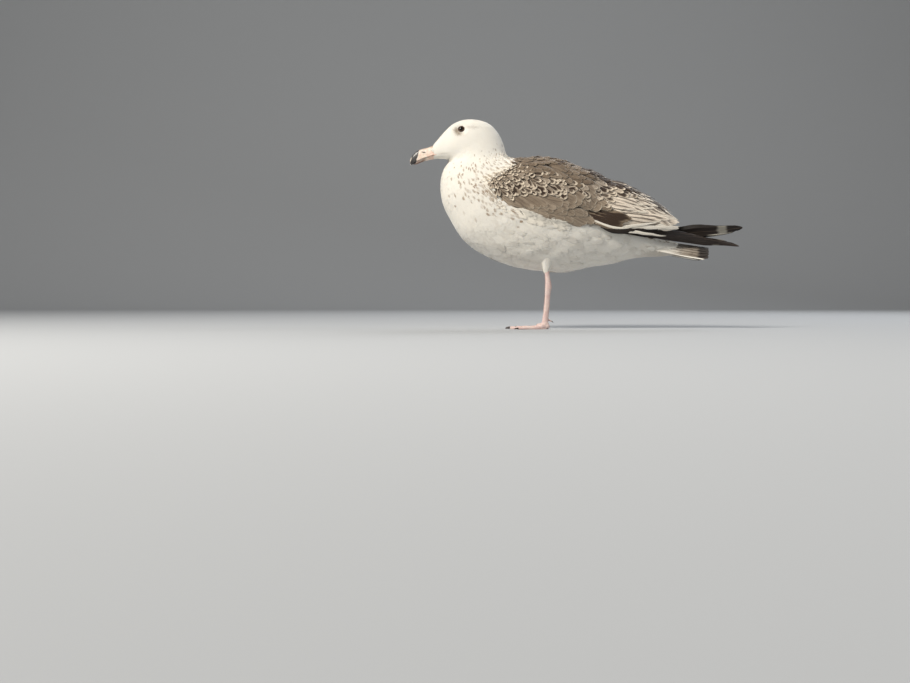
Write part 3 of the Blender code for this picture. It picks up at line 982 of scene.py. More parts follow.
@dataclass(frozen=True)
class Bare:
    """Plain bare skin or horn, with a fine grain between two colours."""

    name: str
    low: Colour
    high: Colour
    scale: float = 1400
    start: float = 0.35        # where the grain begins to turn from the low colour to the high one
    depth: float = 0.00006
    rough: float = 0.42

    def build(self) -> Material:
        """The material."""
        shop = Shop(self.name)
        grain = shop.noise(shop.place(), self.scale, 3)
        shop.bump(grain, self.depth, 0.5)
        return shop.finish(
            Base_Color=shop.mix(grain.step(self.start, 0.7), self.low, self.high), Roughness=self.rough)


# ---------------------------------------------------------------- meshes


SOFT, LOOSE, FIRM = 0.86, 0.8, 0.55     # how much a feather takes the surface's normal over its own


def linked(name: str, data: bpy.types.ID) -> Piece:
    """A new object in the scene."""
    made = bpy.data.objects.new(name, data)
    bpy.context.scene.collection.objects.link(made)
    return made


def outwards(bm: bmesh.types.BMesh) -> None:
    """Turns all faces of a closed mesh outwards."""
    bmesh.ops.recalc_face_normals(bm, faces=bm.faces)


def made_mesh(name: str, points: Array, faces: Sequence[Sequence[int]], closed: bool = True) -> Piece:
    """A smooth object.

    Args:
        name: its name.
        points: its vertices, in metres.
        faces: its faces.
        closed: whether they enclose it, and are turned outwards.

    Returns:
        The object.
    """
    mesh = bpy.data.meshes.new(name)
    mesh.from_pydata([tuple(p) for p in np.asarray(points, float)], [], [tuple(map(int, f)) for f in faces])
    mesh.validate()
    mesh.shade_smooth()
    made = linked(name, mesh)
    if closed:
        edited(made, outwards)
    return made


def edited(made: Piece, change: Callable[[bmesh.types.BMesh], object]) -> None:
    """Changes an object's mesh with one of Blender's mesh tools."""
    bm = bmesh.new()
    bm.from_mesh(made.data)
    change(bm)
    bm.to_mesh(made.data)
    bm.free()


def merged(made: Piece, distance: float) -> None:
    """Merges vertices nearer than a distance in millimetres."""
    edited(made, lambda bm: bmesh.ops.remove_doubles(bm, verts=bm.verts, dist=distance * MM))


def ring_faces(rings: int, around: int, closed: bool = False, capped: bool = False) -> list[tuple[int, ...]]:
    """Faces between rings of vertices that follow one another.

    Args:
        rings: how many rings there are.
        around: how many vertices each has.
        closed: whether the last ring joins the first.
        capped: whether the end rings are filled.

    Returns:
        The faces.
    """
    faces = []
    for i in range(rings if closed else rings - 1):
        a, b = i * around, (i + 1) % rings * around
        faces += [(a + k, b + k, b + (k + 1) % around, a + (k + 1) % around) for k in range(around)]
    if capped:
        faces += [tuple(range(around))[::-1], tuple(range((rings - 1) * around, rings * around))]
    return faces


def read(mesh: bpy.types.Mesh, name: str) -> Array:
    """A vector of every vertex, such as co or normal."""
    values = np.empty(len(mesh.vertices) * 3, np.float32)
    mesh.vertices.foreach_get(name, values)
    return values.reshape(-1, 3)


def stored(mesh: bpy.types.Mesh, name: str, values: Array) -> None:
    """Stores four numbers on each vertex, for a finish to read."""
    layer = mesh.attributes.new(name, "FLOAT_COLOR", "POINT")
    layer.data.foreach_set("color", values.astype(np.float32).ravel())


def settled(made: Piece, finish: Material, slot: str, *solids: str) -> None:
    """Gives a piece its material and its body, and hides the solids that it replaces."""
    made.data.materials.append(finish)
    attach(made, ROOT)
    if solids:
        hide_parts(*solids)
    log.info("%s: %d faces", made.name, len(made.data.polygons))


def coat_piece(name: str, block: Block, finish: Material, softness: float = SOFT, slot: str = "feathers",
               *solids: str) -> None:
    """Makes a piece of coat: its triangles, what its finish reads, its bake map and soft normals.

    Args:
        name: the piece's name.
        block: its mesh.
        finish: its material.
        softness: how much a feather takes the surface's normal over its own.
        slot: not used.
        solids: what it replaces.
    """
    mesh = bpy.data.meshes.new(name)
    f = len(block.faces)
    mesh.vertices.add(len(block.points))
    mesh.vertices.foreach_set("co", block.points.astype(np.float32).ravel())
    mesh.loops.add(3 * f)
    mesh.loops.foreach_set("vertex_index", block.faces.astype(np.int32).ravel())
    mesh.polygons.add(f)
    mesh.polygons.foreach_set("loop_start", np.arange(f, dtype=np.int32) * 3)
    mesh.update(calc_edges=True)
    stored(mesh, "vane", block.vane)
    stored(mesh, "look", block.look)
    chart = mesh.uv_layers.new(name=BAKE_MAP)
    chart.data.foreach_set("uv", block.bake[block.faces.ravel()].astype(np.float32).ravel())
    mesh.shade_smooth()
    own = read(mesh, "normal")
    facing = (own * block.normals).sum(-1, keepdims=True) > -0.2
    soft = np.where(facing, unit(block.normals * softness + own * (1 - softness)), own)
    mesh.normals_split_custom_set_from_vertices(soft.tolist())
    settled(linked(name, mesh), finish, slot, *solids)


def meshed(along: Array, across: Array) -> tuple[Array, Array]:
    """Every pair of two rows of numbers, in two flat lists."""
    return tuple(x.ravel() for x in np.meshgrid(along, across, indexing="ij"))


def tree_of(points: Array) -> KDTree:
    """A tree that finds the points near a place."""
    tree = KDTree(len(points))
    for i, p in enumerate(points):
        tree.insert(p, i)
    tree.balance()
    return tree


def scattered(
        surface: Surface, span: Pair, turns: Pair, spacing: Union[float, Callable[[Array, Array], Array]],
        rng: Rng, tries: int = 24, grid: int = 60) -> tuple[Array, Array]:
    """Places spread evenly over a stretch of a surface, no two nearer than the local spacing.

    Args:
        surface: the surface.
        span: first and last of its first number.
        turns: first and last of its second number.
        spacing: the wanted distance in millimetres, the same everywhere or worked out for given places.
        rng: what the places are drawn from.
        tries: how many candidates there are for each four places.
        grid: how many cells each way the stretch is measured in.

    Returns:
        The two numbers of each place.
    """

    def gap(a: Array, b: Array) -> Array:
        """The spacing at given places, in metres."""
        return (spacing(a, b) if callable(spacing) else np.full(a.shape, float(spacing))) * MM

    a, b = meshed(np.linspace(*span, grid), np.linspace(*turns, grid))
    run, turn, _ = surface.frames(a, b)
    share = np.linalg.norm(np.cross(run, turn), axis=-1) / gap(a, b) ** 2
    area = (span[1] - span[0]) * (turns[1] - turns[0]) / grid**2
    count = int(share.sum() * area * tries / 4)
    picked = rng.choice(len(share), count, p=share / share.sum())
    along = a[picked] + rng.uniform(-0.5, 0.5, count) * (span[1] - span[0]) / (grid - 1)
    across = b[picked] + rng.uniform(-0.5, 0.5, count) * (turns[1] - turns[0]) / (grid - 1)
    along, across = along.clip(*span), across.clip(*turns)
    points, gaps = surface.points(along, across), gap(along, across)
    tree = tree_of(points)
    free = np.ones(count, bool)
    kept = []
    for i in range(count):
        if free[i]:
            kept.append(i)
            for _, j, _ in tree.find_range(points[i], gaps[i]):
                free[j] = False
    return along[kept], across[kept]


def charted(along: Array, across: Array, span: Pair) -> Array:
    """Where the tufts of a stretch lie on the bake map: round the loft one way, along it the other."""
    return np.stack(((across + math.pi) / math.tau * 0.94 + MARGIN[0], np.interp(along, span, MARGIN)), -1)


def cells(count: int, columns: int) -> tuple[Array, float]:
    """Even places on a bake map for large feathers, and how wide each one's patch may be."""
    rows = math.ceil(count / columns)
    at = np.arange(count)
    size = min(1 / columns, 1 / rows)
    spots = np.stack(((at % columns + 0.5) / columns, (at // columns + 0.5) / rows), -1)
    return spots, size * 0.86


def joined(name: str, parts: Sequence[Piece]) -> Piece:
    """Several objects as one."""
    bpy.ops.object.select_all(action="DESELECT")
    for part in parts:
        part.select_set(True)
    bpy.context.view_layer.objects.active = parts[0]
    bpy.ops.object.join()
    parts[0].name = parts[0].data.name = name
    return parts[0]


def applied(made: Piece) -> None:
    """Applies an object's modifiers to its mesh."""
    graph = bpy.context.evaluated_depsgraph_get()
    mesh = bpy.data.meshes.new_from_object(made.evaluated_get(graph))
    made.modifiers.clear()
    made.data = mesh


def cut(made: Piece, cutter: Piece) -> None:
    """Takes the shape of a cutter out of an object, and the cutter away."""
    bpy.context.view_layer.update()
    change = made.modifiers.new("cut", "BOOLEAN")
    change.operation, change.object, change.solver = "DIFFERENCE", cutter, "EXACT"
    applied(made)
    bpy.data.objects.remove(cutter)


def in_order(mesh: bpy.types.Mesh) -> None:
    """Numbers vertices, faces and corners by their places, since a cut leaves them in any order."""
    places = read(mesh, "co")
    order = np.lexsort(places.T)
    number = np.argsort(order).tolist()
    faces = []
    for face in mesh.polygons:
        ring = [number[v] for v in face.vertices]
        first = ring.index(min(ring))
        faces.append((*ring[first:], *ring[:first]))
    mesh.clear_geometry()
    mesh.from_pydata(places[order].tolist(), [], sorted(faces))


def remeshed(made: Piece, voxel: float, relax: int, swell: float = 0.0) -> None:
    """Welds overlapping closed parts into one even mesh.

    Args:
        made: the object.
        voxel: the size of its new faces, in millimetres.
        relax: how many rounds of smoothing follow.
        swell: how far its parts swell before and shrink after, to close narrow gaps.
    """
    shifted(made, swell)
    change = made.modifiers.new("weld", "REMESH")
    change.mode, change.voxel_size = "VOXEL", voxel * MM
    soften = made.modifiers.new("relax", "SMOOTH")
    soften.factor, soften.iterations = 0.5, relax
    applied(made)
    shifted(made, -swell)
    made.data.shade_smooth()


def shifted(made: Piece, distance: float) -> None:
    """Moves every vertex along its normal, in millimetres."""
    if distance:
        mesh = made.data
        moved = read(mesh, "co") + read(mesh, "normal") * distance * MM
        mesh.vertices.foreach_set("co", moved.ravel())
        mesh.update()


# ---------------------------------------------------------------- the bird


BODY_ROWS = np.array([
    (-232.5, 297.5, -230, 276, 7.5, 2.2),
    (-211, 322, -218, 276, 15.5, 2.4),
    (-196.5, 333.5, -213, 275.5, 20.5, 2.4),
    (-178.5, 339, -209.5, 274.8, 24, 2.4),
    (-157.5, 338, -207.3, 273.8, 26.5, 2.3),
    (-139.5, 331, -206.2, 272.5, 28, 2.2),
    (-126.5, 317, -206, 271, 29, 2.1),
    (-118, 299.5, -207.8, 268, 31, 2),
    (-113.3, 283, -212.7, 262.5, 34.5, 2),
    (-108.5, 277.5, -217.9, 250.5, 39.5, 2),
    (-100, 276.5, -220.4, 231.5, 45.5, 2),
    (-87, 276.5, -216.8, 204.5, 52, 2),
    (-69, 276.5, -204.6, 178, 57, 2),
    (-46.5, 275, -181.7, 143, 60.5, 2.1),
    (-20.5, 270.5, -146, 118, 62.5, 2.1),
    (5.5, 260, -103.5, 102, 62, 2.1),
    (30, 253, -58, 94, 58.5, 2.1),
    (51, 241.5, -20.5, 91.5, 53, 2),
    (71, 220.5, 20.5, 100, 45.5, 2),
    (92, 193, 56, 105, 37.5, 2),
    (113, 169, 86, 113, 30.5, 2),
    (131, 151, 113, 116.5, 25.5, 2),
])
VENT_ROWS = np.array([
    (150, 144, 140, 117.5, 20.5, 2),
    (172, 139, 176, 123.5, 14.5, 2),
])
# Behind the trunk's station 17 the folded wings roof the lower back.
ROOF_ROWS = np.array([
    (76, 235, 28, 69, 53.5, 2.2),
    (106, 220, 64, 91, 47.5, 2.2),
    (130, 205, 106, 113, 39.5, 2.2),
    (151, 189, 141, 136, 31, 2.2),
    (174, 172, 168, 159, 21, 2.2),
])
THIGH_ROWS = np.array([(-47, 129, 17, 22), (-47.5, 120.5, 11.8, 15), (-48.5, 112, 9, 11),
                       (-49, 105, 6.8, 8.6), (-49.5, 98.5, 4.9, 6.4)])
BILL_BASE_ROWS = np.array([(-250.5, 291.9, -250, 270.1, 5.3, 2), (-241.5, 294.1, -241, 272.9, 6.1, 2),
                           (-231.5, 297.8, -229.5, 275.4, 7.1, 2), (-221.5, 308.5, -223, 276, 12, 2.2)])
LAST_STATION = 22.3    # where the skin ends, under the tail
LEG_X = 31
RIGHT_LEG_BACK = 3

EYE_MIDDLE = np.array((19.3, -186.4, 321.9))     # the middle of the left eye's opening
EYE_SLOPE = (0.15, -0.2)       # how the orbit's plane leans: x per y, and x per z
EYE_RADIUS = 7.2
EYE_OPENING = 5
EYE_SOCKET = (4.4, 6, 14)      # inner and outer radius, and depth
BILL_TIP = -269.7              # y
NOSTRIL = (-247.8, 286.2)      # y and z of the middle of each

NAPE = 8.9            # station where the brown mantle starts on the back


def eye_axis(side: int) -> Array:
    """The direction that an eye looks in."""
    return unit(np.array((side, -EYE_SLOPE[0], -EYE_SLOPE[1])))


def leg_back(side: int) -> float:
    """How far behind the left leg a leg stands, in millimetres."""
    return 0 if side > 0 else RIGHT_LEG_BACK


def off_back(across: Array) -> Array:
    """Degrees off the middle of the back, on either side."""
    return np.degrees(np.abs(across))


def mantle_edge(along: Array) -> Array:
    """The angle off the back, in degrees, down to which the upper side is brown at a station."""
    return np.interp(along, (NAPE - 0.3, 9.8, 10.6, 11.6, 12.4, 13, 14, 16.5, 17.3, 18),
                     (0, 26, 42, 54, 72, 88, 92, 90, 84, 60))


def brownness(along: Array, across: Array) -> Array:
    """How brown the plumage is, from 0 on the white parts to 1 on the mantle and wings."""
    below = off_back(across) - mantle_edge(along)
    return smooth(4, -4, below) * window(along, NAPE - 0.5, NAPE + 0.3, 17.8, 18.6)


def spotting(along: Array, across: Array) -> Array:
    """How many of the body's feathers carry a brown spot, as a share."""
    degrees = off_back(across)
    collar = window(along, 6.2, 8.4, 10.6, 12.8) * smooth(150, 62, degrees)
    breast = 0.55 * window(along, 9, 10.6, 11.5, 14) * window(degrees, 50, 70, 95, 130)
    nape = 0.75 * window(along, 6.5, 7.9, 9.6, 10.4) * smooth(60, 20, degrees)
    under = 0.14 * window(along, 19.2, 19.8, 21, 21.6) * window(degrees, 85, 95, 130, 150)
    rump = 0.5 * smooth(18.5, 19, along) * smooth(60, 45, degrees)
    edge = 0.3 * window(along, 12.2, 13, 14.5, 16.5) * window(degrees, 84, 92, 98, 112)
    return np.clip(collar + breast + nape + edge + rump + under, 0, 0.9)


def eye_shade(points: Array) -> Array:
    """The dusky smudge before, under and behind the eye, and the faint line behind the mouth's corner."""
    y, z = points[..., 1] / MM, points[..., 2] / MM

    def blot(strength: float, at: Pair, size: Pair, slope: float = 0) -> Array:
        """A soft oval, its middle and size as y and z in millimetres."""
        lean = (y - at[0]) * slope
        return np.exp(-(((y - at[0]) / size[0]) ** 2 + ((z - at[1] - lean) / size[1]) ** 2)) * strength

    ahead = blot(1, (-194, 318.2), (4.6, 5.2))
    under = blot(0.95, (-190.5, 314.4), (6, 3.4))
    mouth = blot(0.28, (-216, 282.6), (7, 1.1), 0.06)
    behind = blot(0.3, (-167, 325.55), (12, 2.2), 0.05)
    return np.clip(np.maximum.reduce((ahead, under, behind, mouth)), 0, 1)


def near_eye(points: Array) -> Array:
    """How much closer together the tufts stand near an eye, where they are short."""
    away = np.linalg.norm(np.abs(points) / MM - np.abs(EYE_MIDDLE), axis=-1)
    return np.interp(away, (7, 18), (0.72, 1))


@dataclass(frozen=True)
class Sowing:
    """How one stretch of the body's coat is sown: where, and how its tufts grow."""

    region: Region
    name: str
    span: Pair
    turns: Pair      # degrees off the back, for both sides
    spacing: Pair    # millimetres at the stretch's two ends
    length: Pair
    half: Pair
    deep: float
    strands: int
    seed: int

    def graded(self, ends: Pair, along: Array) -> Array:
        """A size that runs from one to another over the stretch."""
        return np.interp(along, self.span, ends)


SOWINGS = (
    Sowing(Region.FACE, "coat_face", (0.02, 2.6), (0, 180), (0.9, 1.4), (3.5, 7), (0.95, 1.5), 0.25, 6, 11),
    Sowing(Region.CROWN, "coat_crown", (2.6, 4.6), (0, 180), (1.65, 2.15), (7, 10), (1.35, 1.9), 0.35, 7, 12),
    Sowing(Region.NECK, "coat_nape", (4.6, 7.4), (0, 180), (2.15, 2.75), (10, 13.5), (1.9, 2.7), 0.5, 8, 13),
    Sowing(Region.NECK, "coat_neck", (7.4, 10.2), (0, 180), (2.75, 3.5), (13.5, 18), (2.7, 3.7), 0.65, 9, 14),
    Sowing(Region.BREAST, "coat_breast", (10.2, 13.2), (24, 180), (3.25, 3.85), (18, 22), (3.9, 5), 0.8, 10,
           15),
    Sowing(Region.BELLY, "coat_belly", (13.2, 17), (78, 180), (4.2, 4.7), (22, 26), (4.8, 5.6), 1, 10, 16),
    Sowing(Region.VENT, "coat_rump", (18.4, 22.2), (0, 50), (4.7, 4.2), (24, 20), (5.6, 5.4), 1, 10, 18),
    Sowing(Region.VENT, "coat_vent", (17, 22.2), (50, 180), (4.7, 4.2), (26, 22), (5.6, 5.4), 1.1, 10, 17),
)


@dataclass
class Coat:
    """The white plumage of head, neck and underparts, and the skin under it."""

    body: Figure = field(default_factory=lambda: Figure(np.vstack((BODY_ROWS, VENT_ROWS))))
    white: Material = field(default_factory=lambda: Plumage(
        "plumage_white", WHITE, BROWN, srgb(150, 127, 103), WHITE, drop=True, variety=0.05, streaks=0.05,
        shaft=0, barbs=0.00005, glow=0.25).build())
    voxel: float = 2            # the size of the skin's faces
    variants: int = 6           # how many different tufts each stretch has
    loose_span: Pair = (13.6, 20.4)
    stations: int = 154         # how many rings of how many vertices the skin starts with
    around: int = 72
    under: tuple = ((0, 2, 6, 10, 14), (0.22, 0.28, 0.45, 0.65, 0.9))    # its depth by station

    def build(self) -> None:
        """Makes the skin, then each stretch of coat."""
        self.skin()
        for sowing in SOWINGS:
            self.sow(sowing)
        self.lores()
        self.loose()
        for side, label in SIDES:
            rng = np.random.default_rng(31 if side > 0 else 32)
            self.thigh(side, label, rng)
            self.skirt(side, label, rng)

    def skin(self) -> None:
        """One closed skin of head, neck, trunk and thighs, under the coat."""
        turns = np.linspace(-math.pi, math.pi, self.around + 1)[:-1]
        stations = np.linspace(0, LAST_STATION, self.stations)
        a, b = np.meshgrid(stations, turns, indexing="ij")
        _, _, up = self.body.frames(a, b)
        depth = np.interp(stations, *self.under) * MM
        points = self.body.points(a, b) - up * depth[:, None, None]
        faces = ring_faces(len(stations), len(turns), capped=True)
        trunk = made_mesh("skin_part", points.reshape(-1, 3), faces, closed=False)
        skin = joined("skin", [trunk] + [self.thigh_core(side) for side, _ in SIDES])
        remeshed(skin, self.voxel, relax=3)
        self.open_sockets(skin)
        self.paint(skin.data)
        settled(skin, Skin().build(), "feathers", "head", "neck", "trunk", "thigh_left", "thigh_right")

    @staticmethod
    def thigh_core(side: int) -> Piece:
        """A closed cone inside a thigh's coat."""
        rings, around = 12, 24
        turns = np.linspace(0, math.tau, around + 1)[:-1]
        a, b = np.meshgrid(np.linspace(-0.2, 4, rings), turns, indexing="ij")
        points = Cone(THIGH_ROWS, LEG_X, side, leg_back(side)).points(a, b)
        middle = points.mean(1, keepdims=True)
        points = middle + (points - middle) * 0.8
        return made_mesh("thigh_part", points.reshape(-1, 3), ring_faces(rings, around, capped=True))

    @staticmethod
    def open_sockets(skin: Piece) -> None:
        """Cuts a round socket for each eye."""
        inner, outer, depth = (size * MM for size in EYE_SOCKET)
        for side, _ in SIDES:
            axis = eye_axis(side)
            bpy.ops.mesh.primitive_cone_add(vertices=48, radius1=inner, radius2=outer, depth=depth)
            plug = bpy.context.object
            plug.location = Vector(EYE_MIDDLE * (side, 1, 1) * MM) + Vector(axis) * MM
            plug.rotation_euler = Vector(axis).to_track_quat("Z", "Y").to_euler()
            cut(skin, plug)

    def paint(self, mesh: bpy.types.Mesh) -> None:
        """Gives the skin the coat's markings."""
        stations, turns = meshed(np.linspace(0, 22, 200), np.linspace(-math.pi, math.pi, 120))
        tree = tree_of(self.body.points(stations, turns))
        near = np.array([tree.find(v.co)[1] for v in mesh.vertices])
        brown = brownness(stations[near], turns[near])
        spots = 0.25 * spotting(stations[near], turns[near]) + 0.8 * eye_shade(read(mesh, "co"))
        stored(mesh, "look", np.stack((1 - brown, spots, brown * 0, brown * 0), -1))

    def sow(self, s: Sowing) -> None:
        """Sows one stretch of coat on both sides of the body."""
        rng = np.random.default_rng(s.seed)
        low, high = np.radians(s.turns)
        both = [scattered(self.body, s.span, turns,
                          lambda a, b: s.graded(s.spacing, a) * near_eye(self.body.points(a, b)), rng)
                for turns in (((low, high), (-high, -low)) if low > 0 else ((-high, high),))]
        along, across = (np.concatenate(x) for x in zip(*both))
        keep = self.bare(along, across)
        along, across = along[keep], across[keep]
        points = self.body.points(along, across)
        degrees = off_back(across)
        throat = smooth(105, 140, degrees) * window(along, 3.2, 5, 8.2, 9.8)
        length = s.graded(s.length, along) * (1 - 0.4 * smooth(20.2, 22, along)) * (1 - 0.55 * throat)
        if s.region in (Region.FACE, Region.CROWN):
            length, keep = self.round_the_eye(points, length)
            along, across, points, length = along[keep], across[keep], points[keep], length[keep]
        n = len(along)
        spot = np.where(rng.random(n) < spotting(along, across) * 0.85, rng.uniform(0.25, 1, n), 0)
        shade = eye_shade(points + np.stack((length * 0, length, length * 0), -1) * 0.55 * MM)
        below = smooth(85, 118, off_back(across))
        # The underside darkens towards the vent and undertail: partly the immature's barred undertail
        # coverts, partly painted shade of the underside. On the belly some tufts are darker at random, as
        # smudges in the plumage.
        dusky = (0.1 * smooth(16.5, 19, along) + 0.35 * smooth(19, 21, along)) * below
        dusky += 0.16 * window(along, 11.8, 13, 16, 18) * below * rng.random(n) ** 2
        pale = (1 - brownness(along, across)) * (1 - 0.8 * shade) - dusky
        half = s.graded(s.half, along)
        f = Feathers.rooted(along, across, rng, length=length, half=half, deep=s.deep * 0.5,
                            high=rng.uniform(0, 0.06, n) * half / 4, sway=6, cup=0.15 * s.deep,
                            thick=0.016 * s.half[0] + 0.035, vary=0.12, look=(pale, spot, shade * 0.6, 0))
        kinds = rng.integers(0, self.variants, n)
        blocks = []
        for k in range(self.variants):
            part = f.picked(kinds == k)
            blocks.append(planted(self.body, part, tuft(s.strands, 2, s.seed * 10 + k),
                                  charted(part.along, part.across, s.span)))
        coat_piece(s.name, Block.joined(blocks), self.white)

    def loose(self) -> None:
        """Large loose tufts of the flank and vent, which stand a little out of the coat."""
        rng = np.random.default_rng(23)
        low, high = math.radians(92), math.radians(150)
        both = [
            scattered(self.body, self.loose_span, turns, 15, rng) for turns in ((low, high), (-high, -low))]
        along, across = (np.concatenate(x) for x in zip(*both))
        n = len(along)
        f = Feathers.rooted(
            along, across, rng, length=rng.uniform(26, 40, n), half=rng.uniform(7, 10, n), deep=0.6,
            high=rng.uniform(0.4, 1.3, n), yaw=-np.sign(across) * 4, sway=12, cup=1.4, thick=0.1, vary=0.2,
            look=(rng.uniform(0.8, 1, n), 0, 0, 0))
        block = planted(self.body, f, tuft(20, 4, 231, ragged=0.12, taper=0.93),
                        charted(along, across, self.loose_span))
        coat_piece("coat_loose", block, self.white, LOOSE)

    def lores(self) -> None:
        """Tiny tufts that run out onto the bill's base in two points on each side."""
        base = Loft(BILL_BASE_ROWS)
        rng = np.random.default_rng(19)
        along, across = scattered(base, (1.1, 2.15), (-math.pi, math.pi), 0.62, rng)
        degrees = off_back(across)
        points = 0.5 * np.exp(-(((degrees - 66) / 24) ** 2)) + 0.34 * np.exp(-(((degrees - 146) / 22) ** 2))
        keep = along > 2.02 - points + rng.normal(0, 0.02, len(along))
        along, across = along[keep], across[keep]
        f = Feathers.rooted(along, across, rng, length=3, half=0.62, deep=0.1,
                            high=rng.uniform(0.05, 0.3, len(along)), sway=7, cup=0.02, thick=0.05, vary=0.15,
                            look=(1, 0, 0, 0))
        block = planted(base, f, tuft(5, 2, 44), charted(along, across, (1.1, 2.2)))
        coat_piece("coat_lores", block, self.white)

    @staticmethod
    def bare(along: Array, across: Array) -> Array:
        """Which places show: not those under the wings and the mantle."""
        degrees = off_back(across)
        under_wing = (along > 12.9) & (along < 17) & (degrees < 82)
        under_mantle = (along > 10.3) & (along < 18.3) & (degrees < mantle_edge(along) - 16)
        return ~(under_wing | under_mantle)

    @staticmethod
    def round_the_eye(points: Array, length: Array) -> tuple[Array, Array]:
        """Shortens tufts that would reach into an eye, and leaves out those rooted in it.

        Args:
            points: the roots.
            length: their lengths in millimetres.

        Returns:
            The new lengths, and which tufts stay.
        """
        y, z = points[:, 1] / MM - EYE_MIDDLE[1], points[:, 2] / MM - EYE_MIDDLE[2]
        away = np.hypot(y, z)
        ahead = (y < 0) & (np.abs(z) < EYE_OPENING + 0.8)
        room = -y - np.sqrt(np.clip((EYE_OPENING - 0.1) ** 2 - z**2, 0, None))
        shorter = np.where(ahead & (-y < 16), np.minimum(length, np.maximum(room, 0)), length)
        close = np.interp(away, (EYE_OPENING, EYE_OPENING + 7), (0.5, 1))
        return np.maximum(shorter * close, 1.3), (away > EYE_OPENING - 0.1) & (shorter > 1)

    def thigh(self, side: int, label: str, rng: Rng) -> None:
        """Short tufts down a thigh."""
        cone = Cone(THIGH_ROWS, LEG_X, side, leg_back(side))
        along, across = scattered(cone, (0, 3.7), (0, math.tau), 2.1, rng)
        f = Feathers.rooted(along, across, rng, length=12, half=2.4, deep=0.7, high=0.1, sway=8, cup=0.2,
                            thick=0.12, vary=0.15, look=(1, 0, 0, 0))
        block = planted(cone, f, tuft(7, 2, 41), charted(along, across - math.pi, (0, 4)))
        coat_piece(f"coat_thigh_{label}", block, self.white)

    def skirt(self, side: int, label: str, rng: Rng) -> None:
        """Belly tufts that drape over the top of a thigh, so that it flares out of the belly."""
        a, b = meshed(np.linspace(12, 17, 120), np.radians(np.linspace(95, 175, 120)) * side)
        target = np.array((side * (LEG_X + 10.5), -48.5 + leg_back(side), 117.5)) * MM
        nearest = np.argmin(np.linalg.norm(self.body.points(a, b) - target, axis=-1))
        n = 110
        middle = np.tile((a[nearest], b[nearest]), (n, 1))
        run, turn, up = self.body.frames(middle[:, 0], middle[:, 1])
        ahead = unit(run)
        beside = np.cross(up, ahead) * side
        t = np.radians(rng.uniform(-110, 80, n))
        reach = rng.uniform(1, 14, n)
        move = (beside * np.cos(t)[:, None] + ahead * np.sin(t)[:, None]) * (reach * MM)[:, None]
        along, across = (middle + self.body.solve(run, turn, move)).T
        f = Feathers.rooted(
            along, across, rng, length=15, half=3.4, deep=0.5, high=np.interp(reach, (2, 15), (1.6, 0.2)),
            yaw=(-62 + 30 * np.sin(t)) * side, sway=5, cup=0.3, thick=0.12, vary=0.12, look=(1, 0, 0, 0))
        where = np.stack((np.degrees(t) / 200 * 0.9 + 0.56, reach / 16 * 0.94 + MARGIN[0]), -1)
        coat_piece(f"coat_skirt_{label}", planted(self.body, f, tuft(9, 2, 42), where), self.white)


@dataclass
class Upperparts:
    """Large feathers laid over the back and the folded wings, varied by seeded chance."""

    rng: Rng
    back: Back = field(default_factory=lambda: Back(np.vstack((BODY_ROWS[:18], ROOF_ROWS))))

    def lay(self, name: str, finish: Material, vanes: Sequence[Template], *groups: Feathers) -> None:
        """Lays groups of large feathers and makes their piece.

        Args:
            name: the piece's name.
            finish: the material.
            vanes: meshes, of which each feather takes one.
            groups: the feathers.
        """
        f = Feathers(**{label: np.concatenate([getattr(g, label) for g in groups])
                        for label in Feathers.__dataclass_fields__})
        spots, size = cells(len(f.along), math.ceil(math.sqrt(len(f.along))))
        kinds = self.rng.integers(0, len(vanes), len(f.along))
        blocks = [planted(self.back, f.picked(kinds == k), template, spots[kinds == k], size)
                  for k, template in enumerate(vanes) if (kinds == k).any()]
        coat_piece(name, Block.joined(blocks), finish, FIRM, "wing_feathers")


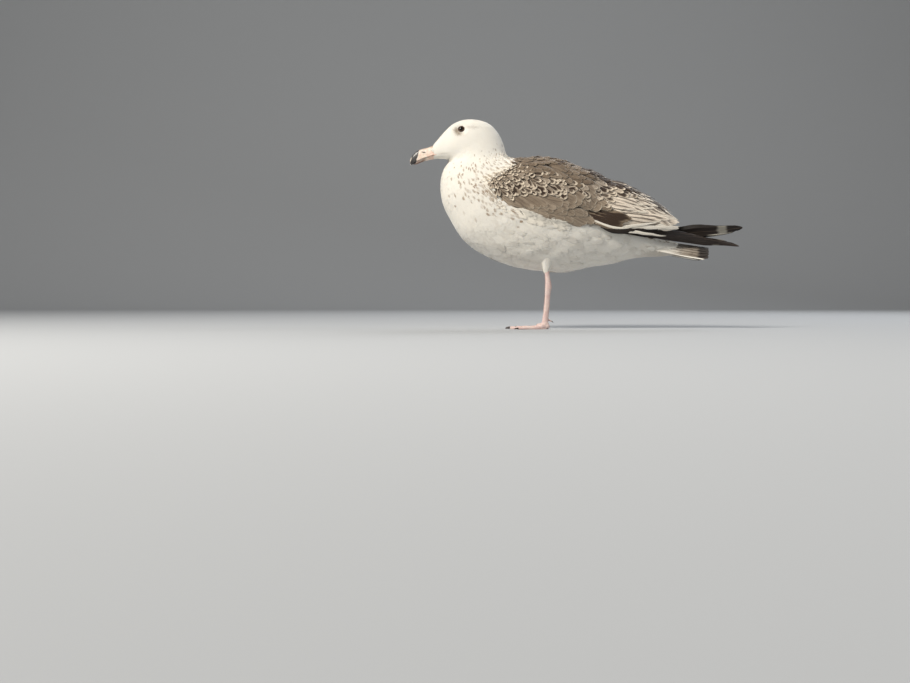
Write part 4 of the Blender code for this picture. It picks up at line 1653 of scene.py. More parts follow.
@dataclass
class Wing(Upperparts):
    """One folded wing and its shoulder, from the under feathers to those that lie over them."""

    side: int = 1
    brown: Optional[Material] = None      # bend and shoulder
    firm: Optional[Material] = None       # greater coverts and secondaries
    long: Optional[Material] = None       # tertials
    hand: Optional[Material] = None       # dark feathers of the hand
    white: Optional[Material] = None      # pale edges and flank

    @property
    def label(self) -> str:
        """Left or right."""
        return "left" if self.side > 0 else "right"

    def build(self) -> None:
        """Makes each group of feathers."""
        self.base()
        self.secondaries()
        self.tertials()
        self.greater_coverts()
        self.lesser_coverts()
        self.scapulars()
        self.flank()

    def rooted(self, along: Numbers, degrees: Numbers, yaw: Numbers = 0, **sizes: object) -> Feathers:
        """Feathers of this wing.

        Args:
            along: the stations of their roots.
            degrees: how far off the back each is rooted.
            yaw: degrees that each turns towards the back.
            sizes: the rest, as Feathers.rooted takes it.

        Returns:
            The feathers.
        """
        return Feathers.rooted(along, np.radians(degrees) * self.side, self.rng, yaw=yaw * self.side, **sizes)

    def base(self) -> None:
        """The under layer that closes the wing below its feathers."""
        a, b = np.meshgrid(np.linspace(11.3, 20.7, 72), np.linspace(0, 1, 30), indexing="ij")
        b = np.radians(4 + (np.interp(a, (15.7, 16.5), (96, 84)) - 4) * b) * self.side
        _, _, up = self.back.frames(a, b)
        inner = Loft(self.back.rows).points(a, b) - up * 4 * MM
        outer = self.back.points(a, b) - up * 2.4 * MM
        points = np.concatenate((outer.reshape(-1, 3), inner.reshape(-1, 3)))
        rows, columns = a.shape
        n = rows * columns
        number = np.arange(n).reshape(rows, columns)
        faces = []
        for i, j in np.ndindex(rows - 1, columns - 1):
            quad = (number[i, j], number[i + 1, j], number[i + 1, j + 1], number[i, j + 1])
            faces += [quad, tuple(n + q for q in quad)[::-1]]
        rim = [*number[:, 0], *number[-1, 1:], *number[-2::-1, -1], *number[0, -2:0:-1]]
        faces += [(p, q, n + q, n + p) for p, q in zip(rim, rim[1:] + rim[:1])]
        made = made_mesh(f"wing_{self.label}_base", points, faces)
        stored(made.data, "look", np.tile((0.1, 0, 0.4, 0), (2 * n, 1)))
        stored(made.data, "vane", np.tile((0.3, 0.3, 1, 0.5), (2 * n, 1)))
        settled(
            made, self.brown, "wing_feathers", f"wing_{self.label}_coverts", f"wing_{self.label}_tertials")

    def secondaries(self) -> None:
        """The dark flight feathers of the arm, seen behind the coverts, and the pale edge under them."""
        vanes = [vane(16, 8, pointed, 100 + k, splits=2) for k in range(3)]
        dark = self.rooted(
            (16.1, 16.2, 16.35, 16.5), (81.5, 79, 75.5, 72), -0.5, length=(82, 80, 74, 66), half=9, deep=2.6,
            high=(0.3, 0.6, 0.8, 0.9), sway=0.4, cup=0.8, look=(0, 1, 0.3, 0.03))
        dark.bend = dark.bend * 0.25
        self.lay(f"secondaries_{self.label}", self.firm, vanes, dark)
        hand = self.rooted((17.5, 18, 18.7), (86, 87, 86), -0.8, length=(66, 80, 80), half=(5, 6, 7),
                           deep=2, high=(0.5, 0.4, 0.3), sway=0.4, cup=1, look=(0, 0.3, 0, 0))
        self.lay(f"hand_feathers_{self.label}", self.hand, vanes, hand)
        pale = self.rooted((16.1, 16.5, 17, 17.6, 18.2, 19.1), (83.5, 85.5, 86, 85.5, 84.5, 82), 0.15,
                           length=(104, 120, 124, 116, 104, 78), half=(2.4, 2.6, 2.8, 3, 3.6, 5), deep=2.4,
                           high=(1.4, 2, 2.3, 2.4, 2.5, 2.8), sway=0.3, cup=0.6, look=(1, 0, 0.12, 0))
        self.lay(f"secondary_edges_{self.label}", self.white, vanes, pale)

    def tertials(self) -> None:
        """The long cream feathers that close over the folded wing."""
        rng = self.rng
        vanes = [vane(18, 8, pointed, 110 + k, splits=3, notch=0.08) for k in range(5)]
        degrees = np.array((75, 71.5, 68, 64, 60, 55.5, 51, 46, 41, 36, 30, 24, 18, 12.5, 8))
        n = len(degrees)
        share = np.arange(n) / (n - 1)
        length = 134 - 24 * share**1.3 + rng.normal(0, 4, n)
        pale = 1 - 0.1 * rng.random(n)
        patch = rng.uniform(0.5, 1, n)
        dark = degrees < (32 if self.side > 0 else 38)
        look = (np.where(dark, -0.8, pale), np.where(dark, 1, patch), np.where(dark, 1, 0.34),
                np.where(dark, 0.04, 0.2))
        groups = [self.rooted(np.linspace(17.2, 16.8, n), degrees, -0.5, length=length, half=9.5, deep=2.4,
                              high=0.2 + 2.4 * share, sway=1.2, cup=1, thick=0.35, vary=0.03, look=look)]
        n = 24
        groups.append(self.rooted(
            rng.uniform(16.5, 18.2, n), rng.uniform(20, 72, n), -1, length=rng.uniform(62, 92, n), half=6.4,
            deep=1.6, high=rng.uniform(1, 2.6, n), sway=3, cup=0.9,
            look=(1, rng.uniform(0.5, 1, n), 0.34, 0.2)))
        if self.side < 0:
            groups.append(self.rooted(
                (15.2, 15.8, 16.6, 17.2, 17.9, 18.5), (-4, 1, -3, 2, -5, -1), -1, length=62, half=7, deep=1,
                high=(3.4, 3, 3.6, 3.4, 4, 3.6), cup=0.6, look=(-0.9, 1, 0.5, 0.02)))
        self.lay(f"tertials_{self.label}", self.long, vanes, *groups)

    def greater_coverts(self) -> None:
        """The plain brown row along the wing's lower edge."""
        rng = self.rng
        vanes = [vane(14, 6, rounded, 60 + k, splits=2, notch=0.08) for k in range(5)]
        s = np.linspace(0, 1, 19)
        upper = self.rooted(12.2 + 4 * s, 84 - 22 * s, -8, length=62 - 24 * s, half=8.4, deep=1.4,
                            high=0.6 + 0.8 * s, sway=2.5, cup=0.9, thick=0.3,
                            look=(0.15 + 0.15 * rng.random(19), 0.3, 0.25, 0.06))
        lower = self.rooted((12.7, 13.3, 13.8, 14.2, 14.6, 15, 15.35, 15.7, 16),
                            (91.5, 91, 90.5, 90, 89.5, 89, 88, 86.5, 84), -3, length=np.linspace(50, 36, 9),
                            half=8.2, deep=2, high=-0.2, sway=2, cup=0.9, thick=0.3,
                            look=(0.2 + 0.1 * rng.random(9), 0.15, 0.2, 0.06))
        middle = self.rooted(np.linspace(13.4, 15.7, 8), np.linspace(84.5, 80, 8), -5, length=36, half=8,
                             deep=1.7, high=0.2, sway=2, cup=0.9, thick=0.3,
                             look=(0.2 + 0.1 * rng.random(8), 0.2, 0.2, 0.06))
        oval = self.rooted(
            rng.uniform(14.6, 16.1, 9), np.linspace(50, 70, 9), -9, length=36, half=10.5, deep=1.2, high=1.7,
            sway=4, cup=1, thick=0.3, look=(0.2, rng.uniform(0, 0.4, 9), 0.1, 0.09))
        self.lay(f"greater_coverts_{self.label}", self.firm, vanes, lower, middle, upper, oval)

    def lesser_coverts(self) -> None:
        """The small patterned feathers of the wing's bend, and the row of median coverts under them."""
        rng = self.rng
        vanes = [vane(9, 4, rounded, 70 + k, notch=0.12, splits=2) for k in range(6)]
        m = np.linspace(0, 1, 18)
        median = self.rooted(12.25 + 3.4 * m, 79 - 22 * m, -12, length=24, half=6.2, deep=1.2,
                             high=rng.uniform(1, 2.2, 18), sway=14, cup=0.8, vary=0.16,
                             look=(0.25 + 0.3 * rng.random(18), 1, 0.2, 0.26))
        along, across = scattered(self.back, (11.1, 15.4), (math.radians(40), math.radians(94)),
                                  lambda a, b: np.interp(a, (11.1, 12.9), (2.6, 5.6)), rng)
        degrees = np.degrees(across)
        top = np.interp(along, (11.2, 13, 15.4), (52, 50, 46))
        low = np.interp(along, (11.1, 11.6, 12.1, 12.9, 13.5, 15.4), (88, 92, 92, 90, 76, 58))
        keep = (degrees > top) & (degrees < low)
        along, degrees = along[keep], degrees[keep]
        n = len(along)
        grow = np.interp(along, (11.2, 13.2), (0.36, 1))
        plain = rng.random(n) < 0.3
        lesser = self.rooted(along, degrees, -10, length=17.5 * grow, half=4.9 * grow, deep=1.2,
                             high=rng.uniform(1.2, 2.2, n), sway=13, cup=0.6, vary=0.15,
                             look=(0.2 + 0.5 * rng.random(n), np.where(plain, 0.2, rng.uniform(0.8, 1, n)),
                                   0.25, np.where(plain, 0.05, 0.27)))
        self.lay(f"lesser_coverts_{self.label}", self.brown, vanes, median, lesser)

    def scapulars(self) -> None:
        """The feathers over the shoulder: brown in front, cream with dark centres behind."""
        rng = self.rng
        vanes = [vane(10, 4, rounded, 80 + k, notch=0.12, splits=2) for k in range(6)]
        along, across = scattered(self.back, (9.2, 18.6), (math.radians(9), math.radians(62)),
                                  lambda a, b: np.interp(a, (9.2, 12, 16, 18), (4, 6.6, 7.4, 8)), rng)
        low = np.interp(along, (9.2, 10.3, 11.2, 12, 13, 15, 16.4, 17.3, 18.4),
                        (20, 44, 54, 60, 55, 50, 60, 46, 32))
        keep = np.degrees(across) < low
        order = np.argsort(along[keep])
        along, degrees = along[keep][order], np.degrees(across)[keep][order]
        n = len(along)
        rear = smooth(15, 16.2, along)
        size = np.interp(along, (9.2, 12.5, 16), (0.5, 1, 1.05))
        marked = rng.random(n) < 0.12 + 0.75 * rear
        ridge = (along > 14.6) & (degrees < 30) & (np.abs(along - 17.3) > 0.2)
        f = self.rooted(
            along, degrees, -5 - 3 * rear, length=28 * size, half=(6.4 - 0.6 * rear) * size, deep=1.2,
            high=rng.uniform(1.6, 2.6, n), sway=8, cup=0.9, vary=0.14,
            look=((0.02 + 0.2 * rng.random(n) + 0.78 * rear) * (1 - ridge) - 0.7 * ridge,
                  np.where(marked | ridge, rng.uniform(0.8, 1, n), 0.1), 0.3 + 0.6 * ridge,
                  (0.02 + 0.19 * rear) * (1 - ridge)))
        self.lay(f"scapulars_{self.label}", self.brown, vanes, f)

    def flank(self) -> None:
        """Loose white feathers of the flank that lap over the wing's lower edge."""
        rng, n = self.rng, 26
        along, degrees = rng.uniform(13.5, 15.4, n), rng.uniform(94, 99, n)
        lap, turn = scattered(self.back, (10.5, 13.2), (math.radians(50), math.radians(102)), 3.4, rng)
        turn = np.degrees(turn)
        ahead = np.interp(turn, (50, 70, 90, 96, 102), (11, 11, 11.25, 12.4, 13.4))
        near = (lap < ahead) & (lap > ahead - 0.75)
        m = near.sum()
        along, degrees = np.concatenate((along, lap[near])), np.concatenate((degrees, turn[near]))
        f = self.rooted(
            along, degrees, 1, length=np.concatenate((rng.uniform(28, 38, n), np.full(m, 15))),
            half=np.repeat((5.5, 3.4), (n, m)), deep=0.8,
            high=np.concatenate((rng.uniform(0.6, 1.8, n), rng.uniform(0.5, 1.3, m))), sway=5, cup=0.6,
            thick=0.12, look=(1, np.concatenate((np.zeros(n), 0.7 * (rng.random(m) < 0.35))), 0, 0))
        where = np.stack((degrees / 180 * self.side * 0.5 + 0.5, np.interp(along, (10, 16), MARGIN)), -1)
        coat_piece(f"flank_{self.label}", planted(self.back, f, tuft(10, 3, 180), where), self.white, LOOSE)


@dataclass
class Mantle(Upperparts):
    """The upper back between the shoulders, and the rump behind it."""

    brown: Optional[Material] = None
    half: float = math.radians(20)

    def build(self) -> None:
        """Makes the mantle and the rump."""
        rng = self.rng
        vanes = [vane(9, 4, rounded, 95 + k, notch=0.12, splits=2) for k in range(5)]
        along, across = scattered(self.back, (8.8, 19), (-self.half, self.half),
                                  lambda a, b: np.interp(a, (8.8, 12, 17), (3.6, 6.4, 7.4)), rng)
        n = len(along)
        size = np.interp(along, (8.8, 12.5, 16), (0.42, 0.95, 1.05))
        ridge = (along > 14.8) & (np.abs(across) < math.radians(11))
        pale = 0.02 + 0.3 * smooth(16, 17, along)
        f = Feathers.rooted(
            along, across, rng, length=27 * size, half=6 * size, deep=1.2, high=rng.uniform(0.9, 1.7, n),
            sway=8, cup=0.8, vary=0.14,
            look=((pale + 0.2 * rng.random(n)) * (1 - ridge) - 0.7 * ridge,
                  np.where((rng.random(n) < 0.2) | ridge, 0.95, 0.1), 0.3 + 0.5 * ridge, 0.02))
        self.lay("mantle", self.brown, vanes, f)
        self.rump()

    def rump(self) -> None:
        """Three layers of dark feathers that fill the hollow between the folded wings, over the rump."""
        rng = self.rng
        surface = Loft(np.vstack((BODY_ROWS, VENT_ROWS)))
        row = np.repeat((0, 1, 2), (15, 13, 11))
        degrees = np.concatenate([np.linspace(-wide, wide, n) for wide, n in ((56, 15), (54, 13), (48, 11))])
        n = len(degrees)
        degrees += rng.normal(0, 1.5, n)
        f = Feathers.rooted(
            np.array((19.5, 18.9, 18.3))[row] - 0.3 * (degrees / 60) ** 2, np.radians(degrees), rng,
            length=np.array((44, 52, 56))[row], half=6.6, deep=1, high=np.array((0.8, 3.6, 7.5))[row],
            sway=5, cup=0.8, vary=0.12, look=(0.1 + 0.3 * rng.random(n), rng.uniform(0.6, 1, n), 0.4, 0.1))
        block = planted(surface, f, vane(12, 6, rounded, 99, notch=0.1, splits=2), *cells(n, 7))
        coat_piece("rump_feathers", block, self.brown, FIRM, "wing_feathers")


@dataclass
class Primaries:
    """The closed hand feathers of each wing, crossing over the tail.

    Each row of near and far is x, y, z and half width of one wing's closed hand, in millimetres.
    """

    lean: float = math.radians(28)
    near: tuple = ((48, 50, 157, 3), (41.5, 80, 152.8, 5), (33.5, 115, 151.5, 7.2), (25.5, 145, 150.5, 8.2),
                   (17, 175, 148, 8), (10.5, 203, 144, 6.5), (7, 222, 142.5, 3.8), (4, 244, 139.8, 2),
                   (1.5, 266, 134.5, 0.9))
    far: tuple = ((47, 50, 152.5, 3), (41, 80, 153.5, 4.5), (33.5, 115, 154.5, 7), (25.5, 145, 155, 8),
                  (18, 172, 155.5, 7.5), (11, 190, 159, 9.5), (6, 206, 161, 11), (1, 224, 162, 10.5),
                  (-4, 244, 163.5, 8), (-7.5, 259, 164.5, 4.5), (-9, 269.7, 164.5, 1.2))
    count: int = 6
    stacked: float = 0.55       # how far each feather lies over the one before
    samples: int = 9

    def build(self) -> None:
        """Makes both wings' primaries."""
        finish = FlightPlumage("plumage_primaries").build()
        n = self.count
        along = np.array((-math.sin(self.lean), 0, math.cos(self.lean)))
        across = np.array((math.cos(self.lean), 0, math.sin(self.lean)))
        for (side, label), table in zip(SIDES, (self.near, self.far)):
            rows = np.array(table, float)
            last = len(rows) - 1
            paths, halves, lengths = [], [], []
            for i, share in enumerate(np.linspace(0, 1, n)):
                at = np.linspace(last * 0.08, last * (1 - 0.42 * share), self.samples)
                values = spline(rows, at)
                spread = np.linspace(0, 1, self.samples) ** 0.7
                shift = (values[:, 3] * (share * 1.1 - 0.45) * spread)[:, None] * along
                path = values[:, :3] + shift + across * (self.stacked * i)
                paths.append(path * (side, 1, 1) * MM)
                halves.append(values[:, 3].max() * (0.95 - 0.2 * share))
                lengths.append(np.linalg.norm(np.diff(path, axis=0), axis=1).sum())
            ups = np.tile(across * (side, 1, 1), (n, self.samples, 1))
            f = Feathers.rooted(np.zeros(n), np.zeros(n), np.random.default_rng(130 + side), length=lengths,
                                half=halves, cup=0.6, thick=0.4, vary=0,
                                look=(np.arange(n) == 0, 0.3 if side > 0 else 1, 0, 0))
            block = spanned(np.array(paths), ups, f, vane(18, 6, bladed, 140), *cells(n, 3))
            coat_piece(f"primaries_{label}", block, finish, FIRM, "primaries", f"wing_{label}_primaries")


@dataclass
class Tail:
    """Twelve tail feathers in a closed, arched fan."""

    count: int = 12
    root: Pair = (108, 145.5)     # y and z of the middle feather's root
    tip: Pair = (216, 131)
    fall: float = 13
    half: float = 28.5
    vane_half: float = 8.4
    sunk: float = 2.4           # how far the lowest feather lies under the root
    stacked: float = 0.28       # how far each lies over the one before
    samples: int = 6

    def build(self) -> None:
        """Makes the tail."""
        n, middle = self.count, (self.count - 1) / 2
        paths, ups = [], []
        order = sorted(range(n), key=lambda i: -abs(i - middle))
        for rank, i in enumerate(order):
            x = (i - middle) / middle
            path = []
            for t in np.linspace(0, 1, self.samples):
                wide = self.half * (0.62 + 0.2 * t) * x
                y = self.root[0] + (self.tip[0] - self.root[0] - 4 * x * x) * t
                z = self.root[1] + (self.tip[1] - self.root[1]) * t - self.fall * x * x * (0.8 + 0.2 * t)
                path.append((wide, y, z - self.sunk + self.stacked * rank))
            tilt = math.atan2(2 * self.fall * x, self.half)
            paths.append(path)
            ups.append(np.tile((math.sin(tilt), 0, math.cos(tilt)), (self.samples, 1)))
        f = Feathers.rooted(
            np.zeros(n), np.zeros(n), np.random.default_rng(150), length=self.tip[0] - self.root[0],
            half=self.vane_half, cup=0.5, thick=0.35, vary=0,
            look=(np.abs(np.array(order) - middle) / middle, 0, 0, 0))
        block = spanned(np.array(paths) * MM, np.array(ups), f, vane(16, 8, squared, 160), *cells(n, 4))
        coat_piece("tail_feathers", block, TailPlumage().build(), FIRM, "feathers", "tail")


# ---------------------------------------------------------------- head


@dataclass
class EyeParts:
    """An eyeball with its raised cornea, and the lids round it."""

    side: int
    label: str
    segments: int = 48
    rings: int = 40
    sunk: float = 5.05          # how far the ball's centre lies behind the opening
    cornea: float = 0.35        # how far the cornea stands out
    lid_radius: float = 4.7
    lid_half: Pair = (0.55, 0.3)     # half its width, and half its thickness
    lid_rings: tuple[int, int] = (64, 10)

    def __post_init__(self) -> None:
        """Finds the eye's centre, and its directions outwards, forwards and up."""
        self.axis = eye_axis(self.side)
        self.centre = EYE_MIDDLE * (self.side, 1, 1) - self.axis * self.sunk
        ahead = unit(np.cross(self.axis, (0, 0, 1)))
        self.ahead = ahead if ahead[1] < 0 else -ahead
        up = unit(np.cross(self.axis, self.ahead))
        self.up = up if up[2] > 0 else -up

    def radial(self, turn: float) -> Array:
        """The direction off the axis at a turn round it, from ahead by way of up."""
        return self.ahead * math.cos(turn) + self.up * math.sin(turn)

    def ball(self, finish: Material) -> None:
        """Makes the eyeball, its rings round the axis, with the cornea standing a little proud."""
        points, told = [], []
        for polar in np.linspace(0, math.pi, self.rings + 1):
            radius = EYE_RADIUS + self.cornea * math.exp(-((polar / 0.5) ** 4))
            for k in range(self.segments):
                turned = self.radial(math.tau * k / self.segments)
                out = math.sin(polar) * turned + math.cos(polar) * self.axis
                points.append((self.centre + out * radius) * MM)
                told.append((polar / (math.pi / 2), k / self.segments, 0, 0))
        faces = ring_faces(self.rings + 1, self.segments)
        made = made_mesh(f"eyeball_{self.label}", points, faces, closed=False)
        stored(made.data, "look", np.array(told))
        merged(made, 0.01)
        edited(made, outwards)
        settled(made, finish, "eye", f"eye_{self.label}")

    def lid(self, finish: Material) -> None:
        """Makes a soft ring of bare skin that hugs the ball, drawn out to a corner in front and behind."""
        count, tube = self.lid_rings
        wide, thick = self.lid_half
        points = []
        for turn in np.arange(count) * math.tau / count:
            radius = self.lid_radius * (1 + 0.1 * abs(math.cos(turn)) ** 3) * (1 - 0.04 * math.sin(turn) ** 2)
            radial = self.radial(turn)
            height = math.sqrt(max(EYE_RADIUS**2 - radius**2, 1))
            middle = self.centre + radial * radius + self.axis * (height + 0.12)
            over = unit(radial * radius + self.axis * height)
            flat = unit(np.cross(over, np.cross(radial, self.axis)))
            for a in np.arange(tube) * math.tau / tube:
                points.append((middle + flat * wide * math.cos(a) + over * thick * math.sin(a)) * MM)
        made = made_mesh(f"lid_{self.label}", points, ring_faces(count, tube, closed=True))
        settled(made, finish, "eye")


@dataclass
class Bill:
    """Both halves of the bill, finer than their solids, with nostrils and the gape.

    Each row of upper and lower is ridge y, z, mouth y, z and half width, in millimetres.
    """

    upper: tuple = ((-231, 297.6, -229.5, 282.6, 6.9), (-241.5, 293.8, -241, 279, 5.9),
                    (-250.5, 291.6, -250, 276.3, 5.1), (-259, 287.8, -257.5, 273.2, 4.3),
                    (-265.3, 281.5, -262.5, 270.6, 3.4), (-268.8, 274.8, -264.6, 268.2, 2.6),
                    (-269.7, 269.2, -266.4, 265.8, 1.7))
    upper_tip: tuple = (0, -268.4, 265)
    lower: tuple = ((-229, 275.6, -229.5, 283.2, 6.2), (-241, 273.2, -240.9, 279.9, 5.1),
                    (-250, 270.4, -249.9, 277.2, 4.3), (-257.5, 267.4, -257.3, 274, 3.4),
                    (-262.6, 266.3, -262.2, 271.2, 2.5))
    lower_tip: tuple = (0, -265, 267.4)
    fold: tuple = ((6.2, -233, 281.6), (8.6, -224.5, 282.4), (11.6, -216, 283.4), (13.8, -208.5, 284.6))
    arc: int = 25
    steps: int = 37

    def build(self) -> None:
        """Makes the two halves and the gape's flesh."""
        horn = Horn().build()
        top = self.half("bill_top", self.upper, self.upper_tip, 0.35)
        self.nostrils(top)
        settled(top, horn, "horn", "bill_upper")
        settled(self.half("bill_bottom", self.lower, self.lower_tip, 0), horn, "horn", "bill_lower")
        flesh = Bare("gape_flesh", srgb(214, 172, 152), srgb(228, 194, 176)).build()
        for side, label in SIDES:
            settled(self.gape(side, label), flesh, "horn")

    def half(self, name: str, table: tuple, tip: tuple, lip: float) -> Piece:
        """Makes one half, a bow from cutting edge to cutting edge, hollowed at the mouth.

        Args:
            name: the piece's name.
            table: its rows.
            tip: its last point.
            lip: how far its cutting edge flares.

        Returns:
            The piece.
        """
        rows = np.array(table, float)
        rings = []
        for t in np.linspace(0, len(rows) - 1, self.steps):
            ridge_y, ridge_z, mouth_y, mouth_z, wide = spline(rows, np.array(t))
            mouth = np.array((0, mouth_y, mouth_z))
            rise = np.array((0, ridge_y, ridge_z)) - mouth
            ring = []
            for a in np.linspace(0, math.pi, self.arc):
                lift = math.sin(a) ** 0.9
                flare = 1 + lip * 0.25 * math.exp(-((lift / 0.16) ** 2)) - 0.05 * math.sin(2 * a) ** 2
                ring.append(mouth + rise * lift + np.array((wide * math.cos(a) * flare, 0, 0)))
            for x in (-0.5, 0, 0.5):
                ring.append(mouth + np.array((x * wide, 0, 0)) + rise * 0.06 * (1 - 4 * x * x))
            rings.append(ring)
        count = len(rings[0])
        points = np.vstack((np.array(rings).reshape(-1, 3), np.array(tip, float)))
        last = (len(rings) - 1) * count
        faces = ring_faces(len(rings), count)
        faces += [(last + k, last + (k + 1) % count, len(points) - 1) for k in range(count)]
        faces.append(tuple(range(count)))
        return made_mesh(name, points * MM, faces)

    @staticmethod
    def nostrils(top: Piece) -> None:
        """Cuts a slit on each side of the upper half."""
        for side, _ in SIDES:
            bpy.ops.mesh.primitive_uv_sphere_add(segments=24, ring_count=12, radius=1)
            cutter = bpy.context.object
            cutter.scale = (2.5 * MM, 3.9 * MM, 0.85 * MM)
            cutter.rotation_euler = (math.radians(-10), 0, 0)
            cutter.location = (side * 4.7 * MM, NOSTRIL[0] * MM, NOSTRIL[1] * MM)
            cut(top, cutter)
        in_order(top.data)
        top.data.shade_smooth()
        top.data.set_sharp_from_angle(angle=math.radians(50))

    def gape(self, side: int, label: str) -> Piece:
        """The fleshy fold that runs back from the corner of the mouth."""
        rings, around = 16, 10
        points = []
        for i, p in enumerate(spline(np.array(self.fold), np.linspace(0, 3, rings))):
            thick = 0.8 * math.sin(math.pi * (0.3 + 0.68 * i / (rings - 1))) + 0.08
            for a in np.arange(around) * math.tau / around:
                wide = 0.8 * math.cos(a) * thick - 0.25
                points.append((p + np.array((wide, 0, math.sin(a) * thick))) * (side, 1, 1) * MM)
        return made_mesh(f"gape_{label}", points, ring_faces(rings, around, capped=True))


# ---------------------------------------------------------------- legs


@dataclass
class Legs:
    """The bare shanks and webbed feet, each leg one skin, and the claws."""

    voxel: float = 0.6          # the size of the new skin's faces
    swell: float = 0.95         # how far its parts swell before they are welded
    claw_voxel: float = 0.35
    claw_swell: float = 0.3
    heel: float = -50           # the foot's solid is drawn in to this y
    scute: float = 2.6          # how far apart the plates of the shank are
    toe_scute: float = 2.2

    def build(self) -> None:
        """Makes both legs and finishes the claws."""
        scaled = ScalySkin().build()
        dark = Bare("claw_horn", srgb(46, 38, 36), srgb(78, 64, 58), 700, 0.3, 0.0002, 0.35).build()
        for side, label in SIDES:
            nodes = [f"{part}_{label}" for part in ("shin", "tarsus", "foot", "hind_toe")]
            parts = self.copies(nodes) + self.ankle(side)
            leg = self.welded(f"leg_{label}", parts, self.voxel, self.swell, near=0.001)
            self.scutes(leg.data)
            settled(leg, scaled, "leg_skin", *nodes)
            names = [f"claw_{label}_{toe}" for toe in ("inner", "middle", "outer", "hind")]
            claws = self.welded(f"claws_{label}", self.copies(names), self.claw_voxel, self.claw_swell)
            settled(claws, dark, "claw", *names)

    @staticmethod
    def welded(name: str, parts: Sequence[Piece], voxel: float, swell: float, near: float = 0) -> Piece:
        """Joins parts and makes one even skin of them.

        Args:
            name: the new piece's name.
            parts: what it is made from.
            voxel: the size of its faces, in millimetres.
            swell: how far the parts swell before, to close narrow gaps.
            near: how near to each other vertices are merged.

        Returns:
            The piece.
        """
        made = joined(name, parts)
        made.data.materials.clear()
        if near:
            merged(made, near)
        remeshed(made, voxel, relax=2, swell=swell)
        return made

    def copies(self, names: Sequence[str]) -> list[Piece]:
        """Copies of solids, to be welded and refined."""
        made = []
        for name in names:
            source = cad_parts[name]
            copy = linked(name + "_copy", source.data.copy())
            if name.startswith("foot"):
                heel = (self.heel + (0 if name.endswith("left") else RIGHT_LEG_BACK)) * MM
                for v in copy.data.vertices:
                    v.co.y = min(v.co.y, heel)
            copy.matrix_world = source.matrix_world
            made.append(copy)
        return made

    @staticmethod
    def ankle(side: int) -> list[Piece]:
        """The joint between shank and toes, and the round heel pad behind it."""
        made = []
        for (x, y, z), radii in (((LEG_X, -51.2, 8.6), (4.9, 5.6, 4.6)), ((LEG_X, -49, 4.4), (5.9, 5.4, 4.4)),
                                 ((LEG_X, -58, 5), (6.6, 7.5, 3.4))):
            bpy.ops.mesh.primitive_uv_sphere_add(segments=24, ring_count=16, radius=MM)
            part = bpy.context.object
            part.scale = radii
            part.location = Vector((side * x, y + leg_back(side), z)) * MM
            bpy.ops.object.transform_apply(location=False, rotation=False, scale=True)
            made.append(part)
        return made

    def scutes(self, mesh: bpy.types.Mesh) -> None:
        """Raises low plates across the front of the shank and the tops of the toes."""
        places, normals = read(mesh, "co"), read(mesh, "normal")
        _, y, z = (places / MM).T

        def plates(at: Array, apart: float) -> Array:
            """Round ridges with narrow furrows between them."""
            return np.abs(np.sin(at * math.pi / apart)) ** 0.5

        shank = plates(z, self.scute) * smooth(0.1, 0.5, -normals[:, 1]) * smooth(11, 16, z)
        toes = plates(y, self.toe_scute) * smooth(0.5, 0.8, normals[:, 2]) * window(z, 2.2, 3.2, 5, 9)
        rise = (shank * 0.28 + toes * 0.22 - 0.1) * smooth(0.3, 1, z)
        places = places + normals * rise[:, None] * MM
        places[:, 2] = np.maximum(places[:, 2], 0)
        mesh.vertices.foreach_set("co", places.astype(np.float32).ravel())
        stored(mesh, "look", np.repeat((shank + toes)[:, None], 4, 1))
        mesh.update()


# ---------------------------------------------------------------- the studio


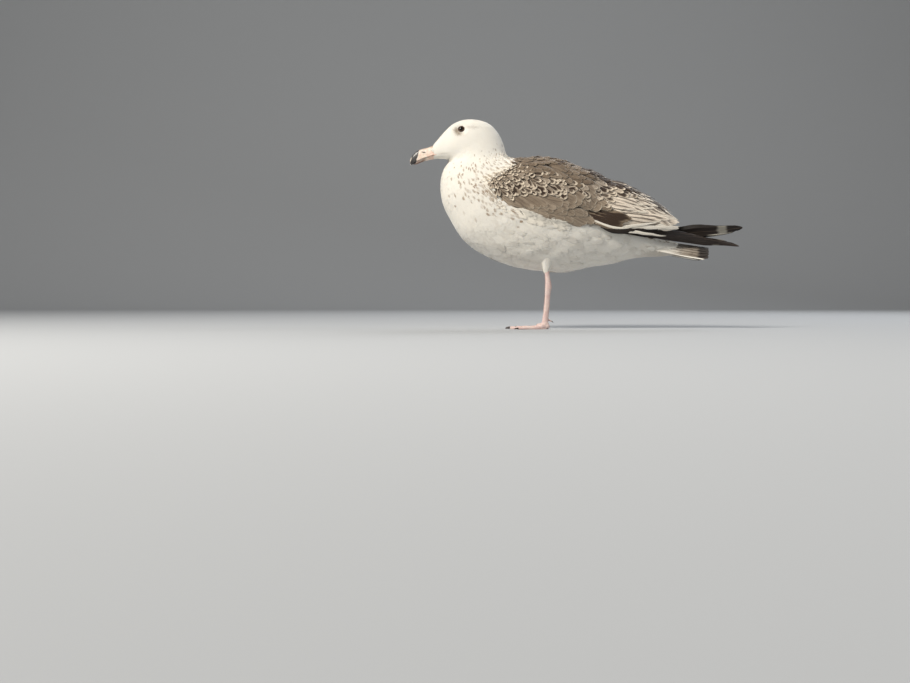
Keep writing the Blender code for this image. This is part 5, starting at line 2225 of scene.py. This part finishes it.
@dataclass
class Studio:
    """A pale floor, soft lights and the camera."""

    distance: float = 2.3
    eye_height: float = 0.055
    view_y: float = -0.1965
    view_z: float = -0.0209
    scale: float = 1.63 * MM     # metres at the bird for each column of the render
    width: int = 910             # columns of the render
    sensor: float = 36

    def build(self) -> None:
        """Makes the floor, the lights and the camera."""
        self.floor()
        self.camera()
        for name, place, size, power, colour in (("key", (1.6, -1.8, 2.1), 0.9, 104, (1, 0.95, 0.87)),
                                                 ("fill", (2.4, 1.5, 0.8), 2.2, 6, (0.88, 0.94, 1)),
                                                 ("rim", (-1.8, 0.8, 1.9), 1.4, 24, (0.95, 0.97, 1)),
                                                 ("back", (-0.3, 2.6, 1.5), 1.6, 26, (0.93, 0.96, 1))):
            data = bpy.data.lights.new(name, "AREA")
            data.size, data.energy, data.color = size, power, colour
            self.aimed(linked(name, data), place, (0, -0.05, 0.2))
        world = bpy.data.worlds.new("studio")
        world.use_nodes = True
        colour, strength = world.node_tree.nodes["Background"].inputs[:2]
        colour.default_value, strength.default_value = (0.91, 0.90, 0.90, 1), 0.24
        bpy.context.scene.world = world
        bpy.context.scene.view_settings.view_transform = "Standard"

    @staticmethod
    def floor() -> None:
        """A wide pale floor that sweeps up behind the bird."""
        near, depth, top, bend, steps = 6, 3, 5.2, 1.2, 24
        profile = [(near, 0), (-depth, 0)]
        for a in np.linspace(0, math.pi / 2, steps + 1)[1:]:
            profile.append((-depth - bend * math.sin(a), bend * (1 - math.cos(a))))
        profile.append((-depth - bend, top))
        points = [(x, y, z) for x, z in profile for y in (-7, 7)]
        faces = [(2 * i, 2 * i + 1, 2 * i + 3, 2 * i + 2) for i in range(len(profile) - 1)]
        made = made_mesh("studio_floor", points, faces, closed=False)
        paper = Shop("studio_paper").finish(Base_Color=(0.44, 0.455, 0.47), Roughness=0.85)
        made.data.materials.append(paper)

    def camera(self) -> None:
        """The camera, low and square to the bird's left side."""
        data = bpy.data.cameras.new("camera")
        data.sensor_width = self.sensor
        data.lens = self.sensor * self.distance / (self.width * self.scale)
        data.clip_start = 0.05
        made = linked("camera", data)
        self.aimed(made, (self.distance, self.view_y, self.eye_height), (0, self.view_y, self.view_z))
        bpy.context.scene.camera = made

    @staticmethod
    def aimed(made: Piece, place: Sequence[float], target: Sequence[float]) -> None:
        """Puts a light or the camera in its place, turned to a target."""
        made.location = place
        made.rotation_euler = (Vector(target) - Vector(place)).to_track_quat("-Z", "Y").to_euler()


def main() -> None:
    """Builds everything in order."""
    logging.basicConfig(level=logging.INFO, format="%(name)s: %(message)s")
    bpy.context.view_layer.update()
    Studio().build()
    Coat().build()
    brown = Plumage("plumage_mantle", CREAM, BROWN, DARK, srgb(232, 216, 193), rough=0.66).build()
    firm = Plumage("plumage_wing", CREAM, srgb(142, 124, 103), DARK, srgb(216, 202, 180), variety=0.16,
                   streaks=0.32, rough=0.62).build()
    long = Plumage("plumage_tertials", srgb(250, 234, 214), BROWN, srgb(48, 35, 26), srgb(246, 236, 218),
                   variety=0.1, streaks=0.5, rough=0.62, lens=0.34, shaft=0.5).build()
    hand = FlightPlumage("plumage_hand").build()
    white = Plumage("plumage_edge", srgb(240, 233, 219), BROWN, srgb(150, 130, 108), WHITE, variety=0.1,
                    streaks=0.12, shaft=0.1).build()
    for side, _ in SIDES:
        Wing(np.random.default_rng(50 + side), side=side, brown=brown, firm=firm, long=long, hand=hand,
             white=white).build()
    Mantle(np.random.default_rng(91), brown=brown).build()
    Primaries().build()
    Tail().build()
    wet, rim = Eye().build(), Bare("lid_skin", srgb(38, 28, 24), srgb(62, 48, 40)).build()
    for side, label in SIDES:
        eye = EyeParts(side, label)
        eye.ball(wet)
        eye.lid(rim)
    Bill().build()
    Legs().build()


if __name__ == "__main__":
    main()
